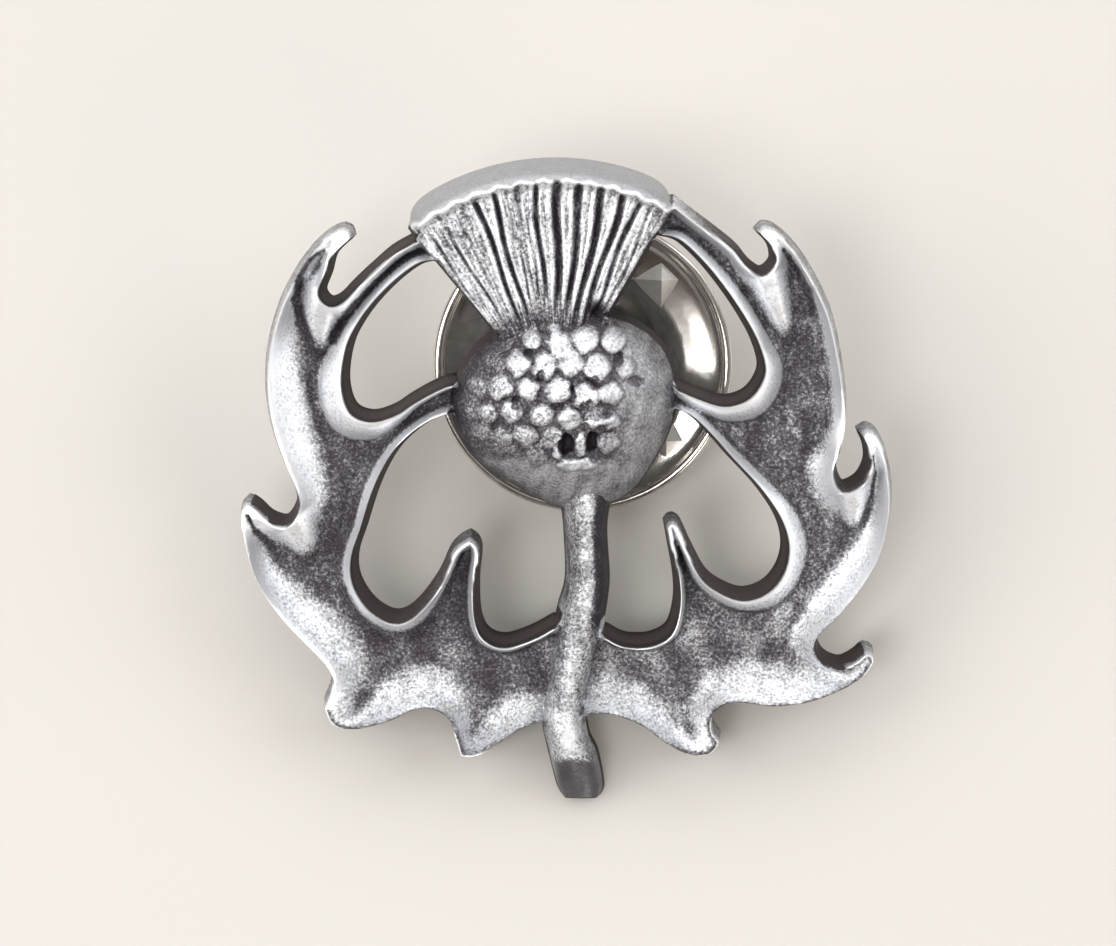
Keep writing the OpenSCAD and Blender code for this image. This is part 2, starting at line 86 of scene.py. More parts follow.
def laid_down(points):
    """Points of the flat frame, in mm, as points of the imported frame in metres."""
    return (np.asarray(points) + SHIFT) @ TURN.T * MM


print(f"the pin leans back by {math.degrees(TILT):.2f} degrees")

# %% [markdown]
# ## The camera
#
# The photograph is taken from almost straight above. The pin's face leans
# towards the viewer, and the camera stands 10 degrees nearer to the tuft
# than the face's own normal, so the walls that face the tuft just show.
# The middle of the frame falls a little left of and above the pin's middle.

# %% Set the camera
FRAME_WIDTH_PX = 1116
FRAME_HEIGHT_PX = 946
PX_PER_MM = 26.0
CAMERA_DISTANCE = 140.0
CAMERA_LEAN = math.radians(10.0)
SENSOR_WIDTH = 36.0
LOOKED_AT = np.array([-0.365, 0.29, 1.5])

scene = bpy.context.scene
lens = bpy.data.cameras.new("photo_camera")
lens.sensor_width = SENSOR_WIDTH
lens.sensor_fit = "HORIZONTAL"
lens.lens = SENSOR_WIDTH * PX_PER_MM * CAMERA_DISTANCE / FRAME_WIDTH_PX
lens.clip_start = 0.001
lens.clip_end = 10.0
camera = bpy.data.objects.new("photo_camera", lens)
scene.collection.objects.link(camera)
look = TURN @ np.array([0.0, math.sin(CAMERA_LEAN), math.cos(CAMERA_LEAN)])
right = np.array([1.0, 0.0, 0.0])
up = np.cross(look, right)
place = laid_down(LOOKED_AT) + look * CAMERA_DISTANCE * MM
axes = Matrix([list(right), list(up), list(look)]).transposed()
camera.matrix_world = Matrix.Translation(Vector(place)) @ axes.to_4x4()
scene.camera = camera
height_angle = math.degrees(math.asin(look[2]))
print(f"lens {lens.lens:.1f} mm, camera {height_angle:.1f} degrees above the floor")

# %% [markdown]
# ## Floor and light
#
# A plain pale floor and big soft panels. Polished nickel shows what stands
# round it, so the room is pale with one dim patch high up in front. The dish
# mirrors it as the photograph's dark brown patch, with a bright panel beside.


# %% Short ways to add nodes
def feed(node, inputs):
    """Give a node's inputs values, or link other nodes' sockets to them."""
    for name, value in inputs.items():
        if isinstance(value, bpy.types.NodeSocket):
            node.id_data.links.new(value, node.inputs[name])
        else:
            node.inputs[name].default_value = value


def add_node(tree, kind, inputs, output=0, **settings):
    """Add a node to a tree, and give one of its outputs."""
    node = tree.nodes.new(kind)
    for name, value in settings.items():
        setattr(node, name, value)
    feed(node, inputs)
    return node.outputs[output]


def math_node(tree, operation, *values, clamp=False):
    """A sum, product or the like of values or sockets."""
    return add_node(tree, "ShaderNodeMath", dict(enumerate(values)),
                    operation=operation, use_clamp=clamp)


def new_material(name):
    """A material with its node tree and its Principled shader."""
    material = bpy.data.materials.new(name)
    material.use_nodes = True
    return material, material.node_tree, material.node_tree.nodes["Principled BSDF"]


# %% Floor
FLOOR_SIZE = 0.6
bpy.ops.mesh.primitive_plane_add(size=FLOOR_SIZE)
floor = bpy.context.object
floor.name = "floor"
floor_paint, _, shader = new_material("pale_floor")
feed(shader, {"Base Color": (0.50, 0.485, 0.458, 1), "Roughness": 0.9,
              "Specular IOR Level": 0.2})
floor.data.materials.append(floor_paint)

# %% Soft panels
PIN_MIDDLE = Vector((0, 0, 0.005))


def panel(name, place, size, power, colour):
    """A soft light, turned towards the pin. Sizes in metres, power in watts."""
    light = bpy.data.lights.new(name, "AREA")
    light.shape = "RECTANGLE"
    light.size, light.size_y = size
    light.energy = power
    light.color = colour
    lamp = bpy.data.objects.new(name, light)
    lamp.location = place
    lamp.rotation_euler = (PIN_MIDDLE - Vector(place)).to_track_quat("-Z", "Y").to_euler()
    scene.collection.objects.link(lamp)


panel("window_left", (-0.36, 0.10, 0.36), (0.34, 0.44), 1.15, (1.0, 0.99, 0.98))
panel("window_back", (-0.02, 0.40, 0.34), (0.60, 0.36), 1.5, (1.0, 1.0, 1.0))
panel("window_right", (0.36, 0.12, 0.34), (0.30, 0.40), 1.1, (0.97, 0.98, 1.0))
panel("front_left", (-0.40, -0.12, 0.34), (0.34, 0.36), 0.85, (1.0, 0.98, 0.95))
panel("front_right", (0.34, -0.35, 0.26), (0.26, 0.24), 0.6, (1.0, 0.94, 0.85))
panel("front_sky", (-0.17, -0.20, 0.50), (0.18, 0.20), 1.3, (1.0, 0.99, 0.97))
panel("ceiling", (0.05, 0.02, 0.60), (0.22, 0.22), 0.3, (1.0, 0.99, 0.98))
print("panels:", len(bpy.data.lights))

# %% The room round them
# The dim patch starts and stops at these parts of a direction's Y and Z
DIM_PATCH = {"Y": (-0.46, -0.66), "Z": (0.25, 0.4)}
PALE_ROOM = (0.50, 0.46, 0.44, 1)
DIM_ROOM = (0.10, 0.08, 0.07, 1)

world = bpy.data.worlds.new("room")
world.use_nodes = True
room = world.node_tree
direction = add_node(room, "ShaderNodeSeparateXYZ", {
    0: add_node(room, "ShaderNodeTexCoord", {}, "Generated")}).node
shares = [add_node(room, "ShaderNodeMapRange",
                   {"Value": direction.outputs[axis], "From Min": start, "From Max": stop},
                   interpolation_type="SMOOTHSTEP")
          for axis, (start, stop) in DIM_PATCH.items()]
tone = add_node(room, "ShaderNodeMixRGB", {
    "Fac": math_node(room, "MULTIPLY", *shares), "Color1": PALE_ROOM, "Color2": DIM_ROOM})
feed(room.nodes["Background"], {"Color": tone, "Strength": 0.8})
scene.world = world
scene.view_settings.view_transform = "Standard"
scene.view_settings.look = "None"

# %% [markdown]
# ## The leaves' lines
#
# Each leaf is one closed line made of smooth stretches, with a sharp corner
# where two stretches meet. A row is x, y and slope: a point of the rim, and
# how far the rim slopes down from there to the dark valley. A slope of 0
# marks a stretch that is buried in the tuft, the head or the stem. They are
# the same lines that the CAD source is built from.

# %% Left leaf, from the tuft round its outer side and back up its inner side
LEFT_LEAF = {
    "arm_top": [(-5.9, 9.2, 0.5), (-6.6, 8.8, 0.5), (-7.3, 8.2, 0.55), (-8.0, 7.55, 0.7),
                (-8.6, 6.95, 0.9), (-9.1, 6.8, 1.0), (-9.45, 7.25, 0.7), (-9.2, 8.0, 0.45),
                (-9.0, 8.7, 0.3), (-8.6, 9.15, 0.3)],
    "hook": [(-8.3, 9.4, 0.3), (-8.5, 9.65, 0.3), (-9.1, 9.35, 0.3), (-9.8, 8.65, 0.4),
             (-10.5, 7.6, 0.55), (-11.0, 6.5, 0.8), (-11.4, 5.0, 1.1), (-11.5, 3.5, 1.4),
             (-11.3, 2.0, 1.5), (-10.85, 0.6, 1.4), (-10.4, -0.5, 1.1), (-10.35, -1.1, 0.9),
             (-10.8, -1.75, 0.9), (-11.5, -1.6, 0.7), (-12.0, -1.15, 0.4)],
    "barb": [(-12.3, -0.95, 0.3), (-12.5, -1.4, 0.4), (-12.4, -2.7, 0.6), (-12.0, -4.0, 0.8),
             (-11.1, -5.4, 1.2), (-10.0, -6.6, 1.4), (-9.2, -7.5, 1.2), (-9.05, -8.1, 0.6)],
    "low_spine": [(-9.35, -8.95, 0.3), (-9.1, -9.5, 0.4), (-8.5, -9.75, 0.4), (-7.7, -9.7, 0.6),
                  (-6.8, -9.45, 0.8), (-6.0, -9.05, 1.0), (-5.3, -9.0, 1.0), (-4.6, -9.4, 0.6),
                  (-4.3, -10.1, 0.4)],
    "foot": [(-4.1, -10.8, 0.3), (-3.5, -10.75, 0.4), (-2.6, -10.3, 0.6), (-1.7, -9.75, 0.8)],
    "in_stem": [(-1.0, -9.5, 0), (0.1, -9.3, 0), (0.3, -6.2, 0)],
    "spike_low": [(-0.5, -5.7, 0.5), (-1.3, -6.15, 0.5), (-2.4, -6.5, 0.6), (-3.2, -6.2, 0.6),
                  (-3.55, -5.4, 0.5), (-3.6, -4.0, 0.4), (-3.5, -2.8, 0.3)],
    "spike_top": [(-3.75, -2.35, 0.3), (-4.3, -2.8, 0.3), (-4.8, -3.85, 0.4), (-5.5, -4.85, 0.7),
                  (-6.2, -5.45, 0.9), (-6.9, -5.5, 0.9), (-7.7, -4.95, 0.9), (-8.25, -4.0, 0.8),
                  (-8.3, -3.0, 0.7), (-7.95, -1.9, 0.6), (-7.5, -0.5, 0.7), (-7.0, 0.6, 0.6),
                  (-6.4, 1.45, 0.4), (-5.5, 2.2, 0.35), (-4.6, 2.6, 0.3)],
    "in_head": [(-3.4, 2.9, 0)],
    "arm_low": [(-4.4, 3.8, 0.3), (-5.1, 3.5, 0.3), (-5.9, 3.05, 0.35), (-6.6, 2.6, 0.5),
                (-7.5, 2.35, 0.9), (-8.3, 2.7, 1.1), (-8.6, 3.8, 1.0), (-8.4, 5.2, 0.6),
                (-7.9, 6.2, 0.45), (-7.2, 7.1, 0.4), (-6.3, 7.95, 0.4), (-5.5, 8.45, 0.35)],
    "in_tuft": [(-4.7, 8.5, 0), (-4.9, 9.6, 0)],
}

# %% Right leaf, from the tuft round its outer side and back up its inner side
RIGHT_LEAF = {
    "arm_top": [(4.0, 10.7, 0.5), (4.7, 10.15, 0.5), (5.5, 9.55, 0.5), (6.3, 8.9, 0.45),
                (6.8, 8.3, 0.5), (7.4, 7.95, 0.7), (7.9, 8.4, 0.6), (7.8, 9.1, 0.35)],
    "hook": [(7.3, 9.65, 0.3), (7.75, 9.65, 0.3), (8.5, 9.0, 0.35), (9.2, 8.0, 0.5),
             (9.9, 6.6, 0.6), (10.3, 5.1, 0.7), (10.55, 3.6, 0.7), (10.6, 2.4, 0.7),
             (10.4, 1.1, 0.8), (10.25, 0.3, 1.0), (10.6, -0.4, 1.0), (11.3, -0.1, 0.7),
             (11.65, 0.6, 0.45), (11.6, 1.3, 0.3)],
    "barb": [(11.35, 1.85, 0.3), (11.7, 1.8, 0.3), (12.1, 1.1, 0.35), (12.38, -0.1, 0.5),
             (12.4, -1.3, 0.6), (12.1, -2.8, 0.8), (11.5, -4.0, 1.0), (10.6, -5.2, 1.0),
             (9.9, -5.9, 0.8), (9.6, -6.5, 0.8), (9.9, -7.1, 0.6), (10.6, -7.4, 0.4),
             (11.2, -7.15, 0.3)],
    "low_barb": [(11.6, -6.8, 0.3), (11.8, -7.05, 0.3), (11.3, -7.75, 0.5), (10.4, -8.35, 0.8),
                 (9.3, -8.75, 1.0), (8.0, -8.9, 1.1), (6.8, -8.75, 1.0), (6.1, -8.8, 0.8),
                 (5.6, -9.25, 0.6), (5.55, -9.85, 0.4)],
    "foot": [(5.85, -10.3, 0.3), (5.5, -10.7, 0.3), (4.7, -10.75, 0.4), (3.8, -10.35, 0.6),
             (2.9, -9.7, 0.8), (2.0, -9.3, 0.9), (1.3, -9.2, 0.7)],
    "in_stem": [(0.5, -9.3, 0), (-0.1, -9.0, 0), (0.7, -6.3, 0)],
    "spike_low": [(1.5, -6.1, 0.4), (2.2, -6.45, 0.4), (3.2, -6.45, 0.5), (4.0, -6.0, 0.5),
                  (4.3, -5.0, 0.4), (4.3, -4.0, 0.35), (4.1, -2.8, 0.3)],
    "spike_top": [(3.9, -1.75, 0.3), (4.15, -1.75, 0.3), (4.6, -2.7, 0.3), (5.2, -3.8, 0.4),
                  (5.9, -4.35, 0.5), (6.8, -4.65, 0.6), (7.7, -4.35, 0.8), (8.3, -3.6, 0.8),
                  (8.5, -2.6, 0.8), (8.2, -1.5, 0.7), (7.4, -0.3, 0.5), (6.3, 0.9, 0.4),
                  (5.5, 1.8, 0.35), (4.6, 2.6, 0.3)],
    "in_head": [(3.3, 3.0, 0)],
    "arm_low": [(4.2, 3.6, 0.4), (5.1, 3.2, 0.6), (6.1, 2.95, 0.8), (7.0, 3.3, 1.0),
                (7.5, 4.2, 0.8), (7.3, 5.2, 0.5), (6.8, 6.2, 0.5), (6.0, 7.4, 0.5),
                (5.1, 8.5, 0.45), (4.2, 9.3, 0.4)],
    "in_tuft": [(3.4, 9.5, 0), (3.1, 10.4, 0)],
}


# %% Turn the rows into smooth closed lines
def curve_at(a, b, c, d, t):
    """The smooth curve through b and c, with a and d before and after them."""
    return 0.5 * (2 * b + (c - a) * t + (2 * a - 5 * b + 4 * c - d) * t ** 2
                  + (3 * b - a - 3 * c + d) * t ** 3)


def smoothed(rows, steps):
    """A smooth open curve through rows."""
    rows = [np.array(row, float) for row in rows]
    last = len(rows) - 1
    return [curve_at(rows[max(i - 1, 0)], rows[i], rows[i + 1], rows[min(i + 2, last)], k / steps)
            for i in range(last) for k in range(steps)] + rows[-1:]


def whole_line(leaf, steps=8):
    """All stretches of a leaf as one array of x, y and slope."""
    stretches = list(leaf.values())
    return np.array([point for rows, following in zip(stretches, stretches[1:] + stretches[:1])
                     for point in smoothed(rows + following[:1], steps)[:-1]])


left_line = whole_line(LEFT_LEAF)
right_line = whole_line(RIGHT_LEAF)
print(f"leaf lines: {len(left_line)} and {len(right_line)} points")

# %% [markdown]
# ## The casting's outline
#
# The outline isn't drawn a second time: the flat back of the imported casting
# already holds it. The edges that only one flat triangle uses are the rim of
# the back, and chained together they give the outside, the four openings
# and the round seat of the post's head.


# %% Read the loops of the casting's flat back
LEVEL_TOLERANCE = 0.002
LOOP_CORNER = math.radians(38)
EDGE_SPACING = 0.08


def flat_back_loops(node):
    """Closed loops, in mm, round the part of a node that lies on z = 0."""
    mesh = frame["nodes"][node].data
    mesh.calc_loop_triangles()
    flat = np.round(turned_flat(node) - SHIFT, 4)
    keys, index = np.unique(flat, axis=0, return_inverse=True)
    index = index.reshape(-1)
    on_back = np.abs(keys[:, 2]) < LEVEL_TOLERANCE
    edges = {}
    for triangle in mesh.loop_triangles:
        corners = [index[v] for v in triangle.vertices]
        if all(on_back[c] for c in corners):
            for a, b in zip(corners, corners[1:] + corners[:1]):
                edges[(a, b)] = edges.get((a, b), 0) + 1
    follows = {a: b for a, b in edges if (b, a) not in edges}
    loops = []
    while follows:
        start, here = follows.popitem()
        loop = [start]
        while here != start:
            loop.append(here)
            here = follows.pop(here)
        loops.append(keys[loop][:, :2])
    return loops


def resampled(loop, spacing):
    """A loop with evenly spaced points, rounded between them but sharp at its corners."""
    n = len(loop)
    points = []
    for i in range(n):
        a, b, c, d = (loop[(i + k) % n] for k in (-1, 0, 1, 2))
        before, run, after = b - a, c - b, d - c
        if turn_between(before, run) > LOOP_CORNER:
            a = b - run
        if turn_between(run, after) > LOOP_CORNER:
            d = c + run
        count = max(1, int(np.linalg.norm(run) / spacing + 0.5))
        points += [curve_at(a, b, c, d, k / count) for k in range(count)]
    return np.array(points)


def turn_between(a, b):
    """Angle between two directions."""
    return abs(math.atan2(a[0] * b[1] - a[1] * b[0], a @ b))


def tidy(loop, least=0.03):
    """The loop without points that crowd the one before."""
    kept = [loop[0]]
    for point in loop[1:]:
        if np.linalg.norm(point - kept[-1]) > least:
            kept.append(point)
    return np.array(kept)


cad_loops = [tidy(loop) for loop in flat_back_loops("thistle_casting")]
from_post = [np.linalg.norm(loop - POST_FLAT, axis=1) for loop in cad_loops]
seat_index = next(i for i, r in enumerate(from_post) if r.max() - r.min() < 0.05)
seat = cad_loops.pop(seat_index)
cad_loops.sort(key=len, reverse=True)
outline = [resampled(loop, EDGE_SPACING) for loop in cad_loops]
print("loops:", [len(loop) for loop in outline], "seat:", len(seat))


# %% Distances to lines
def weighted_distances(points, starts, ends, widths, slice_size=2000):
    """Least distance over width from points to segments, for each set of widths, and where."""
    runs = ends - starts
    lengths = np.maximum((runs ** 2).sum(1), 1e-12)
    shares = [np.empty(len(points)) for _ in widths]
    nearest = np.empty(len(points), int)
    for i in range(0, len(points), slice_size):
        p = points[i:i + slice_size, None, :]
        t = np.clip(((p - starts) * runs).sum(2) / lengths, 0, 1)
        gaps = np.sqrt(((p - starts - t[..., None] * runs) ** 2).sum(2))
        for found, width in zip(shares, widths):
            found[i:i + slice_size] = (gaps / width).min(1)
        nearest[i:i + slice_size] = (gaps / widths[-1]).argmin(1)
    return shares, nearest


# %% Search trees and insides
def tree_of(points):
    """A search tree over flat points."""
    tree = KDTree(len(points))
    for i, (x, y) in enumerate(points):
        tree.insert((x, y, 0), i)
    tree.balance()
    return tree


class Edges:
    """The outline's points in a search tree, for distances to the edge."""

    def __init__(self, loops):
        self.points = np.vstack(loops)
        self.after = np.vstack([np.roll(loop, -1, axis=0) for loop in loops])
        self.before = np.vstack([np.roll(loop, 1, axis=0) for loop in loops])
        self.tree = tree_of(self.points)

    def nearest(self, points):
        """Index of the nearest edge point to each point."""
        return np.array([self.tree.find((x, y, 0))[1] for x, y in points])

    def distance(self, points):
        """Distance from points to the edge."""
        i = self.nearest(points)
        here = self.points[i]
        gaps = []
        for other in (self.after[i], self.before[i]):
            run = other - here
            t = np.clip(((points - here) * run).sum(1) / (run ** 2).sum(1), 0, 1)
            gaps.append(np.linalg.norm(points - here - t[:, None] * run, axis=1))
        return np.minimum(*gaps)


def inside(points, loops, slice_size=4000):
    """Whether points lie inside a set of loops, counting crossings."""
    starts = np.vstack(loops)
    ends = np.vstack([np.roll(loop, -1, axis=0) for loop in loops])
    result = np.empty(len(points), bool)
    for i in range(0, len(points), slice_size):
        x = points[i:i + slice_size, 0, None]
        y = points[i:i + slice_size, 1, None]
        spans = (starts[:, 1] > y) != (ends[:, 1] > y)
        rise = np.where(ends[:, 1] == starts[:, 1], 1, ends[:, 1] - starts[:, 1])
        cross = starts[:, 0] + (y - starts[:, 1]) * (ends[:, 0] - starts[:, 0]) / rise
        result[i:i + slice_size] = (spans & (cross > x)).sum(1) % 2 == 1
    return result


# %% [markdown]
# ## Where the surface's points go
#
# A relief needs its points where it bends. Rows of points run along every
# edge, closer together towards the wall, and a hexagonal field fills the
# rest, closer together on the tuft and the head. A constrained
# triangulation joins them without bridging the openings.

# %% Spread the points and triangulate them
FIELD_SPACING = 0.085
FINE_SPACING = 0.052
EDGE_ROWS = (0.08, 0.16, 0.225, 0.26, 0.29, 0.34)
FAN_AT = np.array([-0.45, 2.6])
FAN_EDGES = (-37.5, 28.5)
HEAD_AT = np.array([-0.15, 2.9])
FINE_RADIUS = 4.4


def hexagonal(spacing, low, high):
    """Rows of points, every second row shifted by half a step."""
    xs = np.arange(low[0], high[0], spacing)
    ys = np.arange(low[1], high[1], spacing * math.sqrt(3) / 2)
    return np.array([(x + (j % 2) * spacing / 2, y) for j, y in enumerate(ys) for x in xs])


def on_fine_relief(points):
    """Whether points lie on the tuft or the seed head."""
    from_fan = points - FAN_AT
    angle = np.degrees(np.arctan2(from_fan[:, 0], from_fan[:, 1]))
    on_tuft = (angle > FAN_EDGES[0] - 1) & (angle < FAN_EDGES[1] + 1)
    return on_tuft | (np.linalg.norm(points - HEAD_AT, axis=1) < FINE_RADIUS)


edges = Edges(outline)
edge_points = edges.points
along = edges.after - edges.before
inward = np.column_stack([along[:, 1], -along[:, 0]])
inward /= np.linalg.norm(inward, axis=1)[:, None]
rows_of_points = []
for depth in EDGE_ROWS:
    row = edge_points + inward * depth
    rows_of_points.append(row[edges.distance(row) > depth * 0.93])

low, high = edge_points.min(0), edge_points.max(0)
coarse, fine = (hexagonal(spacing, low, high) for spacing in (FIELD_SPACING, FINE_SPACING))
field = np.vstack([coarse[~on_fine_relief(coarse)], fine[on_fine_relief(fine)]])
field = field[inside(field, outline)]
field = field[edges.distance(field) > EDGE_ROWS[-1] + FIELD_SPACING * 0.6]
inner_points = np.vstack(rows_of_points + [field])
inner_points = inner_points[inside(inner_points, outline)]
flat_points = np.vstack([edge_points, inner_points])
print(f"{len(flat_points)} points on the face")


def triangulated(points, loops):
    """Triangles over points, cut along the loops, as an array of point indices."""
    edges, first = [], 0
    for loop in loops:
        n = len(loop)
        edges += [(first + i, first + (i + 1) % n) for i in range(n)]
        first += n
    triangles, sources = delaunay_2d_cdt([Vector(p) for p in points], edges, [], 0, 1e-7)[2:4]
    index = np.array([source[0] if source else -1 for source in sources])
    triangles = index[np.array(triangles)]
    triangles = triangles[(triangles >= 0).all(1)]
    middles = points[triangles].mean(1)
    return triangles[inside(middles, loops)]


face_triangles = triangulated(flat_points, outline)
print(f"{len(face_triangles)} triangles on the face")

# %% [markdown]
# ## The relief
#
# Every form of the casting is a height above the flat back, and the casting
# is the highest of them, cut down along its edges by the walls, which lean
# out towards the back as cast walls do. Each form also says how worn it is:
# 1 on rims and crests that are rubbed bright, 0 in hollows where the dark
# patina stays. The same number also carries painted light: painted shade on
# the stem's right side, round the seed head's rim and along the low rims'
# edges, and a painted highlight line on the tuft's band.

# %% Sizes of the relief, in mm
RIM_HEIGHT = 1.9
VALLEY_HEIGHT = 0.8
RELIEF = RIM_HEIGHT - VALLEY_HEIGHT
WALL_LEAN = 0.26
FLUTE_DEPTH = 0.28
HEAD_HEIGHT = 3.3
BEAD_RADIUS = 0.53
BEAD_HEIGHT = 0.26


def smooth_step(low, high, value):
    """0 below low, 1 above high, and smooth between."""
    t = np.clip((value - low) / (high - low), 0, 1)
    return t * t * (3 - 2 * t)


def soft_lower(a, b, round_over):
    """The lower of two heights, with the edge between them rounded."""
    blend = np.clip(0.5 + 0.5 * (b - a) / round_over, 0, 1)
    return b + (a - b) * blend - round_over * blend * (1 - blend)


def ripple(points, scale, seed):
    """Slow unevenness between -1 and 1, from a few crossed waves."""
    dice = np.random.default_rng(seed)
    total = np.zeros(len(points))
    for _ in range(6):
        angle, phase = dice.uniform(0, 2 * math.pi, 2)
        wave = 2 * math.pi / (scale * dice.uniform(0.6, 1.6))
        total += np.sin((points @ [math.cos(angle), math.sin(angle)]) * wave + phase)
    return total / 4


# %% Slopes, pads and grooves of the leaves
# For each stretch: how far its slope reaches, how far the rubbed metal reaches
# at its start, middle and end, both in its rows' own slopes, how gradually they
# end, and how dark the wall is, with patina and painted shade, at its start,
# middle and end, or all along it
SHARED_SLOPES = {
    "foot": (1.6, (1.5, 1.6, 1.6), 0.6, 0.3),
    "arm_low": (1.0, (0.8, 1.0, 0.6), 0.12, 1)}
LEFT_SLOPES = {
    "arm_top": (0.8, (0.55, 0.8, 0.8), 0.2, (1, 1, 0.9)),
    "hook": (1.15, (0.8, 1.0, 1.0), 0.45, (0.3, 0.25, 1)),
    "barb": (1.15, (0.8, 1.15, 1.3), 0.45, 0.3),
    "low_spine": (1.5, (1.3, 1.6, 1.5), 0.6, 0.3),
    "spike_low": (0.9, (0.5, 0.55, 0.5), 0.3, (1, 1, 0.4)),
    "spike_top": (1.15, (0.5, 0.5, 0.6), 0.35, (0.4, 1, 1)),
    **SHARED_SLOPES}
RIGHT_SLOPES = {
    "arm_top": (0.8, (0.7, 0.9, 0.9), 0.25, (0.2, 0.7, 1)),
    "hook": (1.15, (0.5, 0.7, 1.5), 0.6, (0.3, 0.25, 1)),
    "barb": (1.15, (0.8, 1.3, 1.2), 0.5, (0.3, 0.25, 1)),
    "low_barb": (1.6, (1.1, 1.6, 1.6), 0.6, 0.3),
    "spike_low": (0.9, (0.5, 0.6, 0.5), 0.3, (1, 1, 0.4)),
    "spike_top": (1.15, (0.5, 1.0, 0.6), 0.2, (0.4, 1, 1)),
    **SHARED_SLOPES}
# The same for a stretch that the tuft, the head or the stem covers
BURIED = (1, 1, 0.3, 0)
# Bright pads that reach down from the crotches: from x, y to x, y, half width
LEFT_TONGUES = [(-9.3, 7.0, -9.65, 4.6, 1.0), (-10.6, -1.6, -9.9, -3.4, 1.1)]
RIGHT_TONGUES = [(7.6, 7.9, 8.6, 5.0, 0.9), (10.9, -0.2, 11.1, -2.4, 0.9)]
# Dark grooves that run on into the hooks, the spikes and the arm: x, y, half width
LEFT_GROOVES = [[(-9.75, 4.9, 0.25), (-10.2, 6.1, 0.22), (-10.4, 7.0, 0.18), (-10.2, 7.85, 0.14),
                 (-9.88, 8.45, 0.11), (-9.5, 8.78, 0.08), (-9.25, 8.93, 0.04)],
                [(-9.0, 5.4, 0.24), (-8.6, 6.15, 0.2), (-8.05, 6.85, 0.17), (-7.3, 7.65, 0.14),
                 (-6.5, 8.35, 0.13), (-5.7, 8.85, 0.12)],
                [(-12.3, -1.35, 0.05), (-12.0, -2.0, 0.1), (-11.45, -2.75, 0.2)],
                [(-3.8, -2.85, 0.05), (-3.95, -3.5, 0.12), (-4.1, -4.1, 0.2)]]
RIGHT_GROOVES = [[(9.2, 6.3, 0.3), (9.15, 7.3, 0.2), (8.75, 8.1, 0.14), (8.45, 8.6, 0.1),
                  (8.2, 8.92, 0.04)],
                 [(11.72, 1.0, 0.03), (11.85, 0.2, 0.06), (11.75, -0.9, 0.12), (11.4, -1.9, 0.2)],
                 [(4.15, -2.35, 0.05), (4.35, -3.1, 0.1), (4.65, -3.9, 0.2)]]
EDGE_GLEAM = 0.18
GLEAM_WEAR = 0.45
RIM_WEAR = 0.93
GROOVE_SHARE = 0.7
SPIKES_WITHIN = 5
# All of a leaf, with the wear of its valley's floor
LEAVES = [(LEFT_LEAF, left_line, LEFT_SLOPES, LEFT_TONGUES, LEFT_GROOVES, 0.19),
          (RIGHT_LEAF, right_line, RIGHT_SLOPES, RIGHT_TONGUES, RIGHT_GROOVES, 0.27)]
print("grooves:", len(LEFT_GROOVES), "and", len(RIGHT_GROOVES))


# %% What a leaf's line tells about the points near it
def tips_of(leaf):
    """The points of a leaf's hooks, barbs and spikes, where two free stretches meet."""
    stretches = list(leaf.values())
    return np.array([rows[0][:2] for before, rows in zip(stretches[-1:] + stretches, stretches)
                     if rows[0][2] > 0 and before[-1][2] > 0])


def to_nearest(points, places):
    """Distance from each point to the nearest of some places."""
    return np.min([np.linalg.norm(points - place, axis=1) for place in places], axis=0)


def along_line(leaf, line, slopes_of, column):
    """A column of the slopes at each point of a leaf's line, from start, middle and end."""
    steps = len(line) // sum(len(rows) for rows in leaf.values())
    return np.concatenate([
        np.interp(np.linspace(0, 2, len(rows) * steps), (0, 1, 2),
                  np.broadcast_to(slopes_of.get(name, BURIED)[column], 3))
        for name, rows in leaf.items()])


def with_pads(points, drop, body, tongues):
    """The drop from the rim and the rubbed share, raised on the pads of the crotches."""
    for x0, y0, x1, y1, half in tongues:
        run = np.array([x1 - x0, y1 - y0])
        far = points - [x0, y0]
        along = far @ run / (run @ run)
        across = np.abs(far @ [-run[1], run[0]]) / math.hypot(*run)
        tip = np.clip(along, 0, 1)
        aside = across / (half * (1 - tip) ** 0.7 + 0.02)
        begun = smooth_step(-0.5, -0.15, along)
        ridge = (1 - tip ** 1.3) * (1 - smooth_step(0.2, 1.25, aside)) * begun
        drop = np.minimum(drop, RELIEF * (1 - ridge))
        body = np.maximum(body, (1 - smooth_step(0.5, 1.25, aside))
                          * (1 - smooth_step(0.5, 1.0, tip)) * begun)
    return drop, body


